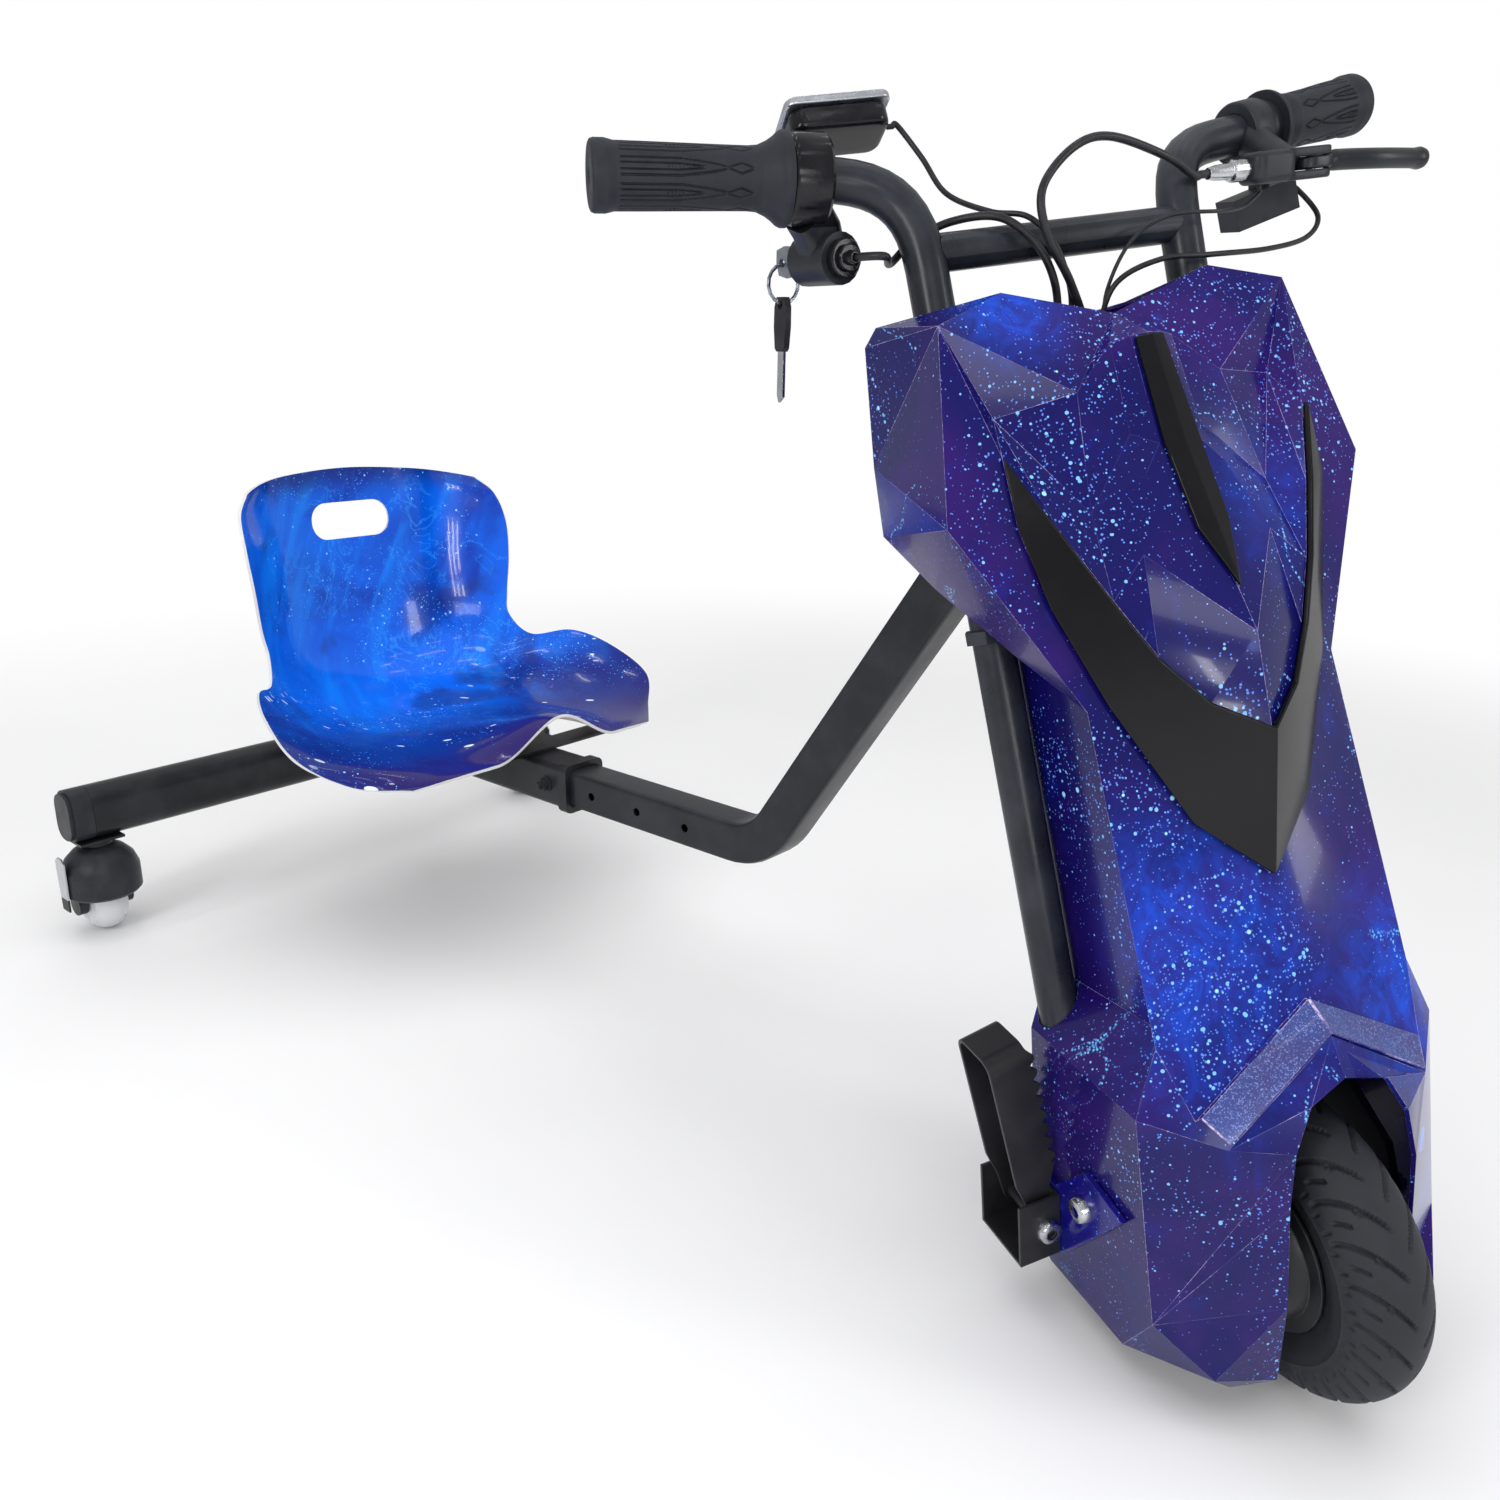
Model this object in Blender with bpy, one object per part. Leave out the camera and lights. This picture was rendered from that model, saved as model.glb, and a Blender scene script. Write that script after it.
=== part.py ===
"""Electric drift tricycle: one driven and steered front wheel under a faceted moulded
fairing, a bent square frame tube, a telescoping seat carriage and two swivel casters.

Metres. Ground at z = 0, forward is -Y, the rider's left is +X. The front assembly is
drawn straight ahead and is then turned about the raked steering axis by STEER.
"""
import bpy
import bmesh
from math import acos, ceil, cos, sin, tan, radians, pi, sqrt
from mathutils import Matrix, Vector
from mathutils.bvhtree import BVHTree

# Driving dimensions, metres and radians.
STEER = radians(-30.0)
RAKE = radians(16.2)
AXIS_PASSES = Vector((0.0, -0.309, 0.400))

WHEEL_R = 0.100
TYRE_R = 0.027
BEAD_R = 0.049
WHEEL_Y = -0.579
AXLE_R = 0.006
DROPOUT_X = 0.0735
DROPOUT_T = 0.006

TUBE_R = 0.0127
TUBE_X = 0.091
TUBE_TOP = Vector((TUBE_X, -0.349, 0.656))
TUBE_FOOT_Z = 0.196
BAR_BEND_Z = 0.676
GRIP_START = Vector((0.140, -0.3092, 0.7305))
GRIP_END = Vector((0.2685, -0.2913, 0.7447))
CROSSBAR_R = 0.0111
CROSSBAR_Z = 0.684

HEAD_OD_R = 0.0215
HEAD_ID_R = 0.0170
HEAD_LOW_Z = 0.458
HEAD_TOP_Z = 0.566
CUP_R = 0.0245
CUP_H = 0.009
STEERER_R = 0.0143
BRIDGE_T = 0.008
UPPER_BRIDGE_Z = 0.588
LOWER_BRIDGE_Z = 0.436

SQUARE = 0.038
SQUARE_WALL = 0.0020
RUN_Z = 0.195
DIAGONAL = radians(56.7)
FRAME_BEND_R = 0.060
FRAME_END_Y = 0.400
HOLE_PITCH = 0.062
HOLE_FIRST_Y = 0.016
HOLE_COUNT = 6
HOLE_R = 0.0042
BOLT_HOLE = 3

SLEEVE_WALL = 0.0028
SLEEVE_FRONT_Y = 0.170
COLLAR_LENGTH = 0.012
COLLAR_EXTRA = 0.0028

BEAM_Y = 0.618
SLEEVE_PAST_BEAM = 0.027
SLEEVE_REAR_Y = BEAM_Y + SLEEVE_PAST_BEAM
BEAM_Z = 0.1365
BEAM_HALF_LENGTH = 0.300
BEAM_HEIGHT = 0.057
BEAM_DEPTH = 0.040
CAP_LENGTH = 0.024

CASTER_X = 0.294
CASTER_TRAIL = 0.008
CASTER_WHEEL_R = 0.034
CASTER_WHEEL_W = 0.035
HOOD_R = 0.0385
HOOD_LOW_Z = 0.045
HOOD_TOP_Z = 0.099

SEAT_T = 0.003
SHELL_T = 0.0026
TRIM_T = 0.0035

SEAT_GAP = 0.0003
TURN_GAP = 0.0004
SKIN_GAP = 0.0005
PACK_GAP = 0.0024
SHELL_CLEARANCE = 0.0009
FACET_SAG = 0.00028
MOST_SIDES = 36

LOOP_RISE = radians(80.0)
PEG_X = 0.1225
PEG_Z = 0.0956
PEG_FRONT_Y = -0.503
PEG_REAR_Y = -0.455
PIN_R = 0.0040

# The middle of the whole length, which becomes the origin, and the two sides.
MIDDLE_Y = 0.0065
SIDES = (("left", 1), ("right", -1))

AXIS = Vector((0.0, sin(RAKE), cos(RAKE)))
AHEAD = Vector((0.0, -cos(RAKE), sin(RAKE)))
SIDE_PLANE = Matrix(((0, 0, 1, 0), (1, 0, 0, 0), (0, 1, 0, 0), (0, 0, 0, 1)))


# Materials.
def material(name, colour, rough, metal=0.0):
    mat = bpy.data.materials.new(name)
    mat.use_nodes = True
    shader = mat.node_tree.nodes["Principled BSDF"]
    shader.inputs["Base Color"].default_value = (*colour, 1.0)
    shader.inputs["Roughness"].default_value = rough
    shader.inputs["Metallic"].default_value = metal
    return mat


def black_paint(name):
    return material(name, (0.014, 0.016, 0.020), 0.38, 0.1)


def black_plastic(name):
    return material(name, (0.016, 0.017, 0.022), 0.5)


def gloss_black(name):
    return material(name, (0.004, 0.004, 0.005), 0.08)


def galaxy(name):
    return material(name, (0.012, 0.016, 0.22), 0.16)


def seat_blue(name):
    return material(name, (0.004, 0.05, 0.55), 0.14)


def rubber(name):
    return material(name, (0.020, 0.022, 0.030), 0.75)


def bright_steel(name):
    return material(name, (0.62, 0.63, 0.65), 0.25, 1.0)


def silver_plastic(name):
    return material(name, (0.55, 0.57, 0.62), 0.3, 0.4)


# Shape helpers.
def start():
    for obj in list(bpy.data.objects):
        bpy.data.objects.remove(obj, do_unlink=True)


def make(name, bm, mat=None, smooth=40.0):
    bmesh.ops.recalc_face_normals(bm, faces=bm.faces)
    mesh = bpy.data.meshes.new(name)
    bm.to_mesh(mesh)
    bm.free()
    obj = bpy.data.objects.new(name, mesh)
    bpy.context.scene.collection.objects.link(obj)
    if mat is not None:
        mesh.materials.append(mat)
    if smooth:
        mesh.shade_smooth()
        mesh.set_sharp_from_angle(angle=radians(smooth))
    return obj


def cutter(bm):
    obj = make("cutter", bm)
    obj.hide_render = True
    obj.display_type = "WIRE"
    return obj


def boolean(obj, tool, kind):
    mod = obj.modifiers.new(kind.lower(), "BOOLEAN")
    mod.operation = kind
    mod.solver = "EXACT"
    mod.object = tool
    tool.parent = obj
    return obj


def cut(obj, *shapes):
    for bm in shapes:
        boolean(obj, cutter(bm), "DIFFERENCE")
    return obj


def add(obj, *shapes):
    for bm in shapes:
        boolean(obj, cutter(bm), "UNION")
    return obj


def bevel(obj, width, segments=2, angle=30.0):
    mod = obj.modifiers.new("bevel", "BEVEL")
    mod.width = width
    mod.segments = segments
    mod.limit_method = "ANGLE"
    mod.angle_limit = radians(angle)
    mod.harden_normals = False
    return obj


def sides_for(radius):
    """Even number of sides whose flats stay within FACET_SAG of the circle."""
    wanted = pi / acos(1.0 - FACET_SAG / max(radius, 0.002))
    return min(MOST_SIDES, max(8, 2 * ceil(wanted / 2)))


def rod(start_at, end_at, radius, end_radius=None, sides=None):
    """A straight round bar between two points."""
    bm = bmesh.new()
    a = Vector(start_at)
    b = Vector(end_at)
    turn = (b - a).to_track_quat("Z", "Y").to_matrix().to_4x4()
    place = Matrix.Translation((a + b) / 2) @ turn
    bmesh.ops.create_cone(bm, cap_ends=True, segments=sides or sides_for(radius), radius1=radius,
                          radius2=radius if end_radius is None else end_radius,
                          depth=(b - a).length, matrix=place)
    return bm


def block(centre, size, turn=None):
    bm = bmesh.new()
    place = Matrix.Translation(Vector(centre))
    if turn is not None:
        place = place @ turn
    bmesh.ops.create_cube(bm, size=1.0, matrix=place @ Matrix.Diagonal((*size, 1.0)))
    return bm


def lathe(profile, origin, axis, closed=False):
    """Profile of (distance along axis, radius) turned about an axis."""
    bm = bmesh.new()
    sides = sides_for(max(radius for _, radius in profile))
    turn = Vector(axis).to_track_quat("Z", "Y").to_matrix().to_4x4()
    place = Matrix.Translation(Vector(origin)) @ turn
    rings = []
    for along, radius in profile:
        if radius < 1e-6:
            rings.append([bm.verts.new(place @ Vector((0, 0, along)))])
            continue
        ring = []
        for k in range(sides):
            t = 2 * pi * k / sides
            ring.append(bm.verts.new(place @ Vector((radius * cos(t), radius * sin(t), along))))
        rings.append(ring)
    pairs = list(zip(rings, rings[1:]))
    if closed:
        pairs.append((rings[-1], rings[0]))
    for a, b in pairs:
        if len(a) == 1 and len(b) == 1:
            continue
        for k in range(sides):
            j = (k + 1) % sides
            if len(a) == 1:
                bm.faces.new((a[0], b[k], b[j]))
            elif len(b) == 1:
                bm.faces.new((a[k], a[j], b[0]))
            else:
                bm.faces.new((a[k], a[j], b[j], b[k]))
    if not closed:
        for ring in (rings[0], rings[-1]):
            if len(ring) > 1:
                bm.faces.new(ring)
    return bm


def sweep(points, outline, up=Vector((0, 0, 1)), inner=None):
    """An outline of (across, up) points carried along a path, open inside if inner is given."""
    bm = bmesh.new()
    path = [Vector(p) for p in points]
    tangents = []
    for k in range(len(path)):
        a = path[max(k - 1, 0)]
        b = path[min(k + 1, len(path) - 1)]
        tangents.append((b - a).normalized())
    normal = (up - tangents[0] * up.dot(tangents[0])).normalized()
    outer = []
    hollow = []
    for k, point in enumerate(path):
        if k:
            normal = tangents[k - 1].rotation_difference(tangents[k]) @ normal
            normal = (normal - tangents[k] * normal.dot(tangents[k])).normalized()
        side = tangents[k].cross(normal)
        stretch = 1.0
        if 0 < k < len(path) - 1:
            stretch = 1.0 / max(0.5, tangents[k].dot((path[k + 1] - path[k]).normalized()))
        outer.append([bm.verts.new(point + side * u + normal * v * stretch) for u, v in outline])
        if inner:
            hollow.append([bm.verts.new(point + side * u + normal * v * stretch) for u, v in inner])
    n = len(outline)
    for rings in (outer, hollow):
        for a, b in zip(rings, rings[1:]):
            for i in range(n):
                j = (i + 1) % n
                bm.faces.new((a[i], a[j], b[j], b[i]))
    for end in (0, -1):
        if inner:
            for i in range(n):
                j = (i + 1) % n
                bm.faces.new((outer[end][i], outer[end][j], hollow[end][j], hollow[end][i]))
        else:
            bm.faces.new(outer[end])
    return bm


def circle(radius, sides=None):
    sides = sides or sides_for(radius)
    return [(radius * cos(2 * pi * k / sides), radius * sin(2 * pi * k / sides)) for k in range(sides)]


def rounded(width, height, radius, steps=3):
    """A rounded rectangle outline."""
    outline = []
    for sx, sy, first in ((1, 1, 0.0), (-1, 1, pi / 2), (-1, -1, pi), (1, -1, 1.5 * pi)):
        for k in range(steps + 1):
            t = first + pi / 2 * k / steps
            outline.append((sx * (width / 2 - radius) + radius * cos(t),
                            sy * (height / 2 - radius) + radius * sin(t)))
    return outline


def plate(outline, thickness, place):
    """A flat outline in a plane given by a matrix, thick along its z, centred on it."""
    bm = bmesh.new()
    low = [bm.verts.new(place @ Vector((u, v, -thickness / 2))) for u, v in outline]
    high = [bm.verts.new(place @ Vector((u, v, thickness / 2))) for u, v in outline]
    bm.faces.new(low)
    bm.faces.new(high)
    n = len(outline)
    for i in range(n):
        j = (i + 1) % n
        bm.faces.new((low[i], low[j], high[j], high[i]))
    return bm


def bend(points, samples=24):
    """A smooth path through points, a few samples for each span."""
    path = [Vector(p) for p in points]
    out = []
    for k in range(len(path) - 1):
        p0 = path[k - 1] if k else path[k] * 2 - path[k + 1]
        p1 = path[k]
        p2 = path[k + 1]
        p3 = path[k + 2] if k + 2 < len(path) else path[k + 1] * 2 - path[k]
        for i in range(samples):
            t = i / samples
            out.append(0.5 * (2 * p1 + (p2 - p0) * t + (2 * p0 - 5 * p1 + 4 * p2 - p3) * t * t
                              + (3 * p1 - p0 - 3 * p2 + p3) * t ** 3))
    out.append(path[-1])
    return out


def mirror_x(v):
    return Vector((-v.x, v.y, v.z))


def side_of(v, side):
    """A point drawn for the rider's left, put on side 1 (left) or -1 (right)."""
    return Vector((side * v[0], v[1], v[2]))


def on_axis(z):
    return AXIS_PASSES + AXIS * ((z - AXIS_PASSES.z) / AXIS.z)


def steering_plane(z):
    """Frame with x across, y ahead and z along the steering axis, at height z on that axis."""
    rot = Matrix((Vector((1, 0, 0)), AHEAD, AXIS)).transposed().to_4x4()
    return Matrix.Translation(on_axis(z)) @ rot


def tube_point(z):
    """Point on the left fork tube's centre line."""
    return TUBE_TOP + AXIS * ((z - TUBE_TOP.z) / AXIS.z)


def wheel_centre():
    """Wheel centre, raised so that the turned tyre just meets the ground."""
    ring = WHEEL_R - TYRE_R
    turn = Matrix.Rotation(STEER, 3, AXIS)
    spin = turn @ Vector((1, 0, 0))
    arm = Vector((0, WHEEL_Y, 0)) - Vector((0, AXIS_PASSES.y, AXIS_PASSES.z))
    reach = ring * sqrt(1 - spin.z ** 2) + TYRE_R
    rest = (turn @ arm).z + AXIS_PASSES.z
    up = (turn @ Vector((0, 0, 1))).z
    return Vector((0, WHEEL_Y, (reach - rest) / up))


# Frame.
def frame_path():
    corner = Vector((0, 0, RUN_Z))
    top = on_axis(0.5125)
    corner.y = top.y + (top.z - RUN_Z) / tan(DIAGONAL)
    back = Vector((0, 1, 0))
    rise = (top - corner).normalized()
    reach = FRAME_BEND_R * tan(DIAGONAL / 2)
    path = [Vector((0, FRAME_END_Y, RUN_Z))]
    centre = corner + back * reach + Vector((0, 0, FRAME_BEND_R))
    for k in range(9):
        t = DIAGONAL * k / 8
        path.append(centre + Vector((0, -FRAME_BEND_R * sin(t), -FRAME_BEND_R * cos(t))))
    path.append(top)
    return path


def frame_tube():
    outside = rounded(SQUARE, SQUARE, 0.005, 2)
    inside = rounded(SQUARE - 2 * SQUARE_WALL, SQUARE - 2 * SQUARE_WALL, 0.0032, 2)
    bm = sweep(frame_path(), outside, Vector((0, 0, 1)), inside)
    obj = make("frame_tube", bm, black_paint("frame_paint"))
    low = on_axis(HEAD_LOW_Z - 0.05)
    high = on_axis(HEAD_TOP_Z + 0.05)
    cut(obj, rod(low, high, HEAD_OD_R + SEAT_GAP))
    for k in range(HOLE_COUNT):
        y = HOLE_FIRST_Y + HOLE_PITCH * k
        cut(obj, rod((-SQUARE, y, RUN_Z), (SQUARE, y, RUN_Z), HOLE_R))
    return obj


def head_tube():
    length = (HEAD_TOP_Z - HEAD_LOW_Z) / AXIS.z
    profile = [(0, HEAD_ID_R), (0, HEAD_OD_R), (length, HEAD_OD_R), (length, HEAD_ID_R)]
    bm = lathe(profile, on_axis(HEAD_LOW_Z), AXIS, closed=True)
    return make("head_tube", bm, black_paint("head_paint"))


def bearing_cup(name, z, direction):
    low = HEAD_ID_R - SEAT_GAP
    bore = STEERER_R + TURN_GAP
    profile = [(-0.010, bore), (-0.010, low), (0.0, low), (0.0, CUP_R), (CUP_H * 0.7, CUP_R),
               (CUP_H, CUP_R - 0.003), (CUP_H, bore)]
    origin = on_axis(z) + AXIS * direction * SEAT_GAP
    bm = lathe(profile, origin, AXIS * direction, closed=True)
    return make(name, bm, bright_steel(name + "_steel"))


# Steering assembly.
def steerer():
    low = on_axis(LOWER_BRIDGE_Z - 0.012)
    top = (on_axis(UPPER_BRIDGE_Z + 0.026) - low).length
    profile = [(0, 0), (0, 0.0175), (0.006, 0.0175), (0.006, STEERER_R), (top - 0.016, STEERER_R),
               (top - 0.016, 0.0185), (top - 0.006, 0.0185), (top, 0.013), (top, 0)]
    return make("steerer", lathe(profile, low, AXIS), bright_steel("steerer_steel"))


def handle_path(side):
    low = side_of(tube_point(TUBE_FOOT_Z), side)
    knee = side_of(tube_point(BAR_BEND_Z), side)
    start_at = side_of(GRIP_START, side)
    end = side_of(GRIP_END, side)
    out = (end - start_at).normalized()
    path = [low.lerp(knee, k / 4) for k in range(4)]
    for k in range(11):
        t = k / 10
        a = knee
        b = knee + AXIS * 0.040
        c = start_at - out * 0.036
        early = a * (1 - t) ** 3 + b * 3 * t * (1 - t) ** 2
        path.append(early + c * 3 * t * t * (1 - t) + start_at * t ** 3)
    path.append(start_at.lerp(end, 0.5))
    path.append(end)
    return path


def handle_tube(name, side):
    bm = sweep(handle_path(side), circle(TUBE_R), Vector((0, 1, 0)))
    return make(name, bm, black_paint(name + "_paint"), 50)


def crossbar():
    left = tube_point(CROSSBAR_Z)
    right = mirror_x(left)
    obj = make("crossbar", rod(left, right, CROSSBAR_R), black_paint("crossbar_paint"))
    for side in (1, -1):
        low = side_of(tube_point(CROSSBAR_Z - 0.05), side)
        path = handle_path(side)
        cut(obj, sweep([low] + path[3:10], circle(TUBE_R + SEAT_GAP), Vector((0, 1, 0))))
    return obj


def bridge(name, z):
    frame = steering_plane(z)
    ahead = (frame.inverted() @ tube_point(z)).y
    outline = [(-0.024, -0.012), (-0.014, -0.024), (0.014, -0.024), (0.024, -0.012), (0.030, ahead - 0.034),
               (0.100, ahead - 0.015), (0.109, ahead), (0.105, ahead + 0.017), (-0.105, ahead + 0.017),
               (-0.109, ahead), (-0.100, ahead - 0.015), (-0.030, ahead - 0.034)]
    obj = make(name, plate(outline, BRIDGE_T, frame), black_paint(name + "_paint"))
    cut(obj, rod(on_axis(z - 0.03), on_axis(z + 0.03), STEERER_R + SEAT_GAP))
    for side in (1, -1):
        low = side_of(tube_point(z - 0.05), side)
        high = side_of(tube_point(z + 0.06), side)
        cut(obj, rod(low, high, TUBE_R + SEAT_GAP))
    if z == UPPER_BRIDGE_Z:
        middle = frame @ Matrix.Translation((0, ahead - 0.002, 0))
        cut(obj, plate(rounded(0.058, 0.018, 0.008, 2), 3 * BRIDGE_T, middle))
    return obj


def dropout(name, side):
    hub = wheel_centre()
    foot = tube_point(TUBE_FOOT_Z)
    top = tube_point(TUBE_FOOT_Z + 0.028)
    outline = []
    for k in range(9):
        t = radians(200 + 180 * k / 8)
        outline.append((hub.y + 0.021 * cos(t), hub.z + 0.021 * sin(t)))
    outline.append((hub.y + 0.036, hub.z + 0.030))
    outline.append((foot.y + 0.014, foot.z + 0.004))
    outline.append((top.y + 0.010, top.z))
    outline.append((top.y - 0.012, top.z))
    outline.append((foot.y - 0.032, foot.z + 0.004))
    outline.append((hub.y - 0.004, hub.z + 0.040))
    place = Matrix.Translation((side * DROPOUT_X, 0, 0)) @ SIDE_PLANE
    obj = make(name, plate(outline, DROPOUT_T, place), black_paint(name + "_paint"), 30)
    edge = DROPOUT_X * side
    cut(obj, rod((edge - 0.02, hub.y, hub.z), (edge + 0.02, hub.y, hub.z), AXLE_R + SEAT_GAP))
    lug = [(foot.y - 0.011, foot.z + 0.003), (foot.y + 0.011, foot.z + 0.003), (top.y + 0.008, top.z - 0.001),
           (top.y - 0.010, top.z - 0.001)]
    place = Matrix.Translation((side * (DROPOUT_X + DROPOUT_T / 2), 0, 0)) @ SIDE_PLANE
    add(obj, plate(lug, DROPOUT_T, place))
    low = side_of(tube_point(TUBE_FOOT_Z - 0.03), side)
    high = side_of(tube_point(TUBE_FOOT_Z + 0.09), side)
    cut(obj, rod(low, high, TUBE_R + SEAT_GAP))
    return obj


def hub_axle():
    hub = wheel_centre()
    inside = DROPOUT_X - DROPOUT_T / 2 - SEAT_GAP
    outside = DROPOUT_X + DROPOUT_T / 2 + SEAT_GAP
    half = [(0.0, AXLE_R), (inside - 0.004, AXLE_R), (inside - 0.004, 0.011), (inside, 0.011),
            (inside, AXLE_R), (outside, AXLE_R), (outside, 0.0125), (outside + 0.002, 0.0125),
            (outside + 0.002, 0.0098), (outside + 0.010, 0.0098), (outside + 0.010, 0.0058),
            (outside + 0.016, 0.0050), (outside + 0.016, 0.0)]
    profile = [(-a, r) for a, r in reversed(half[1:])] + half[1:]
    return make("hub_axle", lathe(profile, hub, (1, 0, 0)), bright_steel("axle_steel"))


# Wheel.
RIM_X = 0.0240
RIM_EDGE = 0.0045


def hub_motor():
    bore = AXLE_R + TURN_GAP
    half = [(0.056, bore), (0.056, 0.016), (0.046, 0.018), (0.041, 0.030), (0.033, 0.0405),
            (RIM_X, 0.0445), (RIM_X, BEAD_R + RIM_EDGE), (0.0214, BEAD_R + RIM_EDGE),
            (0.0200, BEAD_R - 0.0010), (0.0, BEAD_R - 0.0010)]
    profile = half[:-1] + [(-a, r) for a, r in reversed(half[:-1])]
    bm = lathe(profile, wheel_centre(), (1, 0, 0), closed=True)
    return make("hub_motor", bm, material("motor_metal", (0.03, 0.032, 0.036), 0.35, 0.8))


def tyre():
    centre = WHEEL_R - TYRE_R
    foot = BEAD_R - 0.0004
    profile = [(-0.0188, foot)]
    for k in range(10):
        t = radians(-30 + 240 * k / 9)
        profile.append((-TYRE_R * cos(t), centre + TYRE_R * sin(t)))
    profile.append((0.0188, foot))
    profile += [(0.0140, foot + 0.002), (0.0215, 0.068), (0.0170, 0.0855), (-0.0170, 0.0855),
                (-0.0215, 0.068), (-0.0140, foot + 0.002)]
    bm = lathe(profile, wheel_centre(), (1, 0, 0), closed=True)
    return make("tyre", bm, rubber("tyre_rubber"), 50)


def tyre_valve():
    hub = wheel_centre()
    base = hub + Vector((RIM_X + SEAT_GAP + 0.0006, BEAD_R, 0))
    tip = base + Vector((0.018, -0.003, 0))
    return make("tyre_valve", rod(base, tip, 0.0032, 0.0026), rubber("valve_rubber"))


# Fairing.
def fairing_points():
    """Corners of the rider's left half of the moulded fairing, outer surface."""
    p = {}
    # Hood.
    p["brow"] = (0.0, -0.398, 0.642)
    p["peak"] = (0.071, -0.391, 0.661)
    p["shoulder"] = (0.118, -0.402, 0.649)
    p["notch"] = (0.049, -0.432, 0.606)
    p["step"] = (0.0, -0.4290, 0.6325)
    p["step_side"] = (0.010, -0.4270, 0.6315)
    p["crest"] = (0.0, -0.4605, 0.5745)
    p["crest_side"] = (0.013, -0.4580, 0.5755)
    p["crest_low"] = (0.012, -0.4860, 0.5320)
    p["base_a"] = (0.021, -0.4230, 0.6285)
    p["base_b"] = (0.024, -0.4465, 0.5810)
    p["base_c"] = (0.026, -0.4640, 0.5620)
    p["crease_a"] = (0.095, -0.419, 0.597)
    p["crease_b"] = (0.060, -0.461, 0.5445)
    p["crease_c"] = (0.043, -0.485, 0.5225)
    p["spear"] = (0.0, -0.5120, 0.4995)
    p["beak"] = (0.0, -0.5266, 0.4805)
    # Band that carries the V trim.
    p["in_a"] = (0.085, -0.466, 0.541)
    p["in_b"] = (0.066, -0.490, 0.502)
    p["in_c"] = (0.049, -0.507, 0.471)
    p["in_d"] = (0.027, -0.525, 0.445)
    p["in_tip"] = (0.0, -0.541, 0.430)
    p["horn"] = (0.103, -0.440, 0.580)
    p["out_a"] = (0.103, -0.455, 0.542)
    p["out_b"] = (0.093, -0.470, 0.499)
    p["out_c"] = (0.073, -0.495, 0.445)
    p["out_d"] = (0.039, -0.527, 0.376)
    p["out_tip"] = (0.0, -0.547, 0.342)
    # Cheek, widest corner and waist.
    p["cheek"] = (0.142, -0.446, 0.547)
    p["waist"] = (0.086, -0.494, 0.443)
    # Top and back of the upper part.
    p["ear"] = (0.130, -0.350, 0.648)
    p["back_a"] = (0.130, -0.334, 0.636)
    p["back_b"] = (0.130, -0.336, 0.565)
    p["back_c"] = (0.124, -0.331, 0.520)
    p["rim"] = (0.064, -0.322, 0.640)
    p["wall_a"] = (0.110, -0.319, 0.632)
    p["wall_b"] = (0.100, -0.319, 0.520)
    p["wall_top"] = (0.0, -0.319, 0.632)
    p["wall_low"] = (0.0, -0.319, 0.520)
    # Lower edge of the upper part and its underside.
    p["hem_a"] = (0.116, -0.381, 0.495)
    p["hem_b"] = (0.100, -0.446, 0.465)
    p["under_a"] = (0.076, -0.336, 0.500)
    p["under_b"] = (0.076, -0.385, 0.475)
    p["under_c"] = (0.076, -0.445, 0.450)
    p["under_d"] = (0.076, -0.478, 0.440)
    p["under_0"] = (0.0, -0.336, 0.500)
    # Column.
    p["knee"] = (0.091, -0.565, 0.265)
    p["knee_in"] = (0.076, -0.548, 0.262)
    p["shin_top"] = (0.076, -0.362, 0.436)
    p["shin_low"] = (0.076, -0.438, 0.246)
    p["shin_top_0"] = (0.0, -0.362, 0.436)
    p["shin_low_0"] = (0.0, -0.438, 0.246)
    p["lip"] = (0.0, -0.579, 0.276)
    p["lip_low"] = (0.0, -0.600, 0.263)
    # Skirt with the wheel arch.
    p["flare"] = (0.108, -0.571, 0.226)
    p["shelf"] = (0.081, -0.588, 0.2270)
    p["brow_low"] = (0.071, -0.6035, 0.2145)
    p["toe"] = (0.108, -0.590, 0.090)
    p["toe_b"] = (0.084, -0.617, 0.060)
    p["toe_c"] = (0.068, -0.612, 0.042)
    p["arch_0"] = (0.0, -0.612, 0.243)
    p["arch_a"] = (0.027, -0.616, 0.236)
    p["arch_b"] = (0.040, -0.621, 0.212)
    p["arch_c"] = (0.0455, -0.625, 0.180)
    p["arch_d"] = (0.0455, -0.629, 0.110)
    p["arch_e"] = (0.042, -0.622, 0.045)
    p["heel_top"] = (0.108, -0.466, 0.224)
    p["heel"] = (0.108, -0.468, 0.060)
    p["sole_a"] = (0.106, -0.560, 0.044)
    p["sole_b"] = (0.106, -0.482, 0.043)
    p["tail"] = (0.090, -0.444, 0.212)
    p["tail_low"] = (0.092, -0.452, 0.050)
    p["tail_0"] = (0.0, -0.444, 0.212)
    p["tail_low_0"] = (0.0, -0.452, 0.050)
    return {k: Vector(v) for k, v in p.items()}


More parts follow.
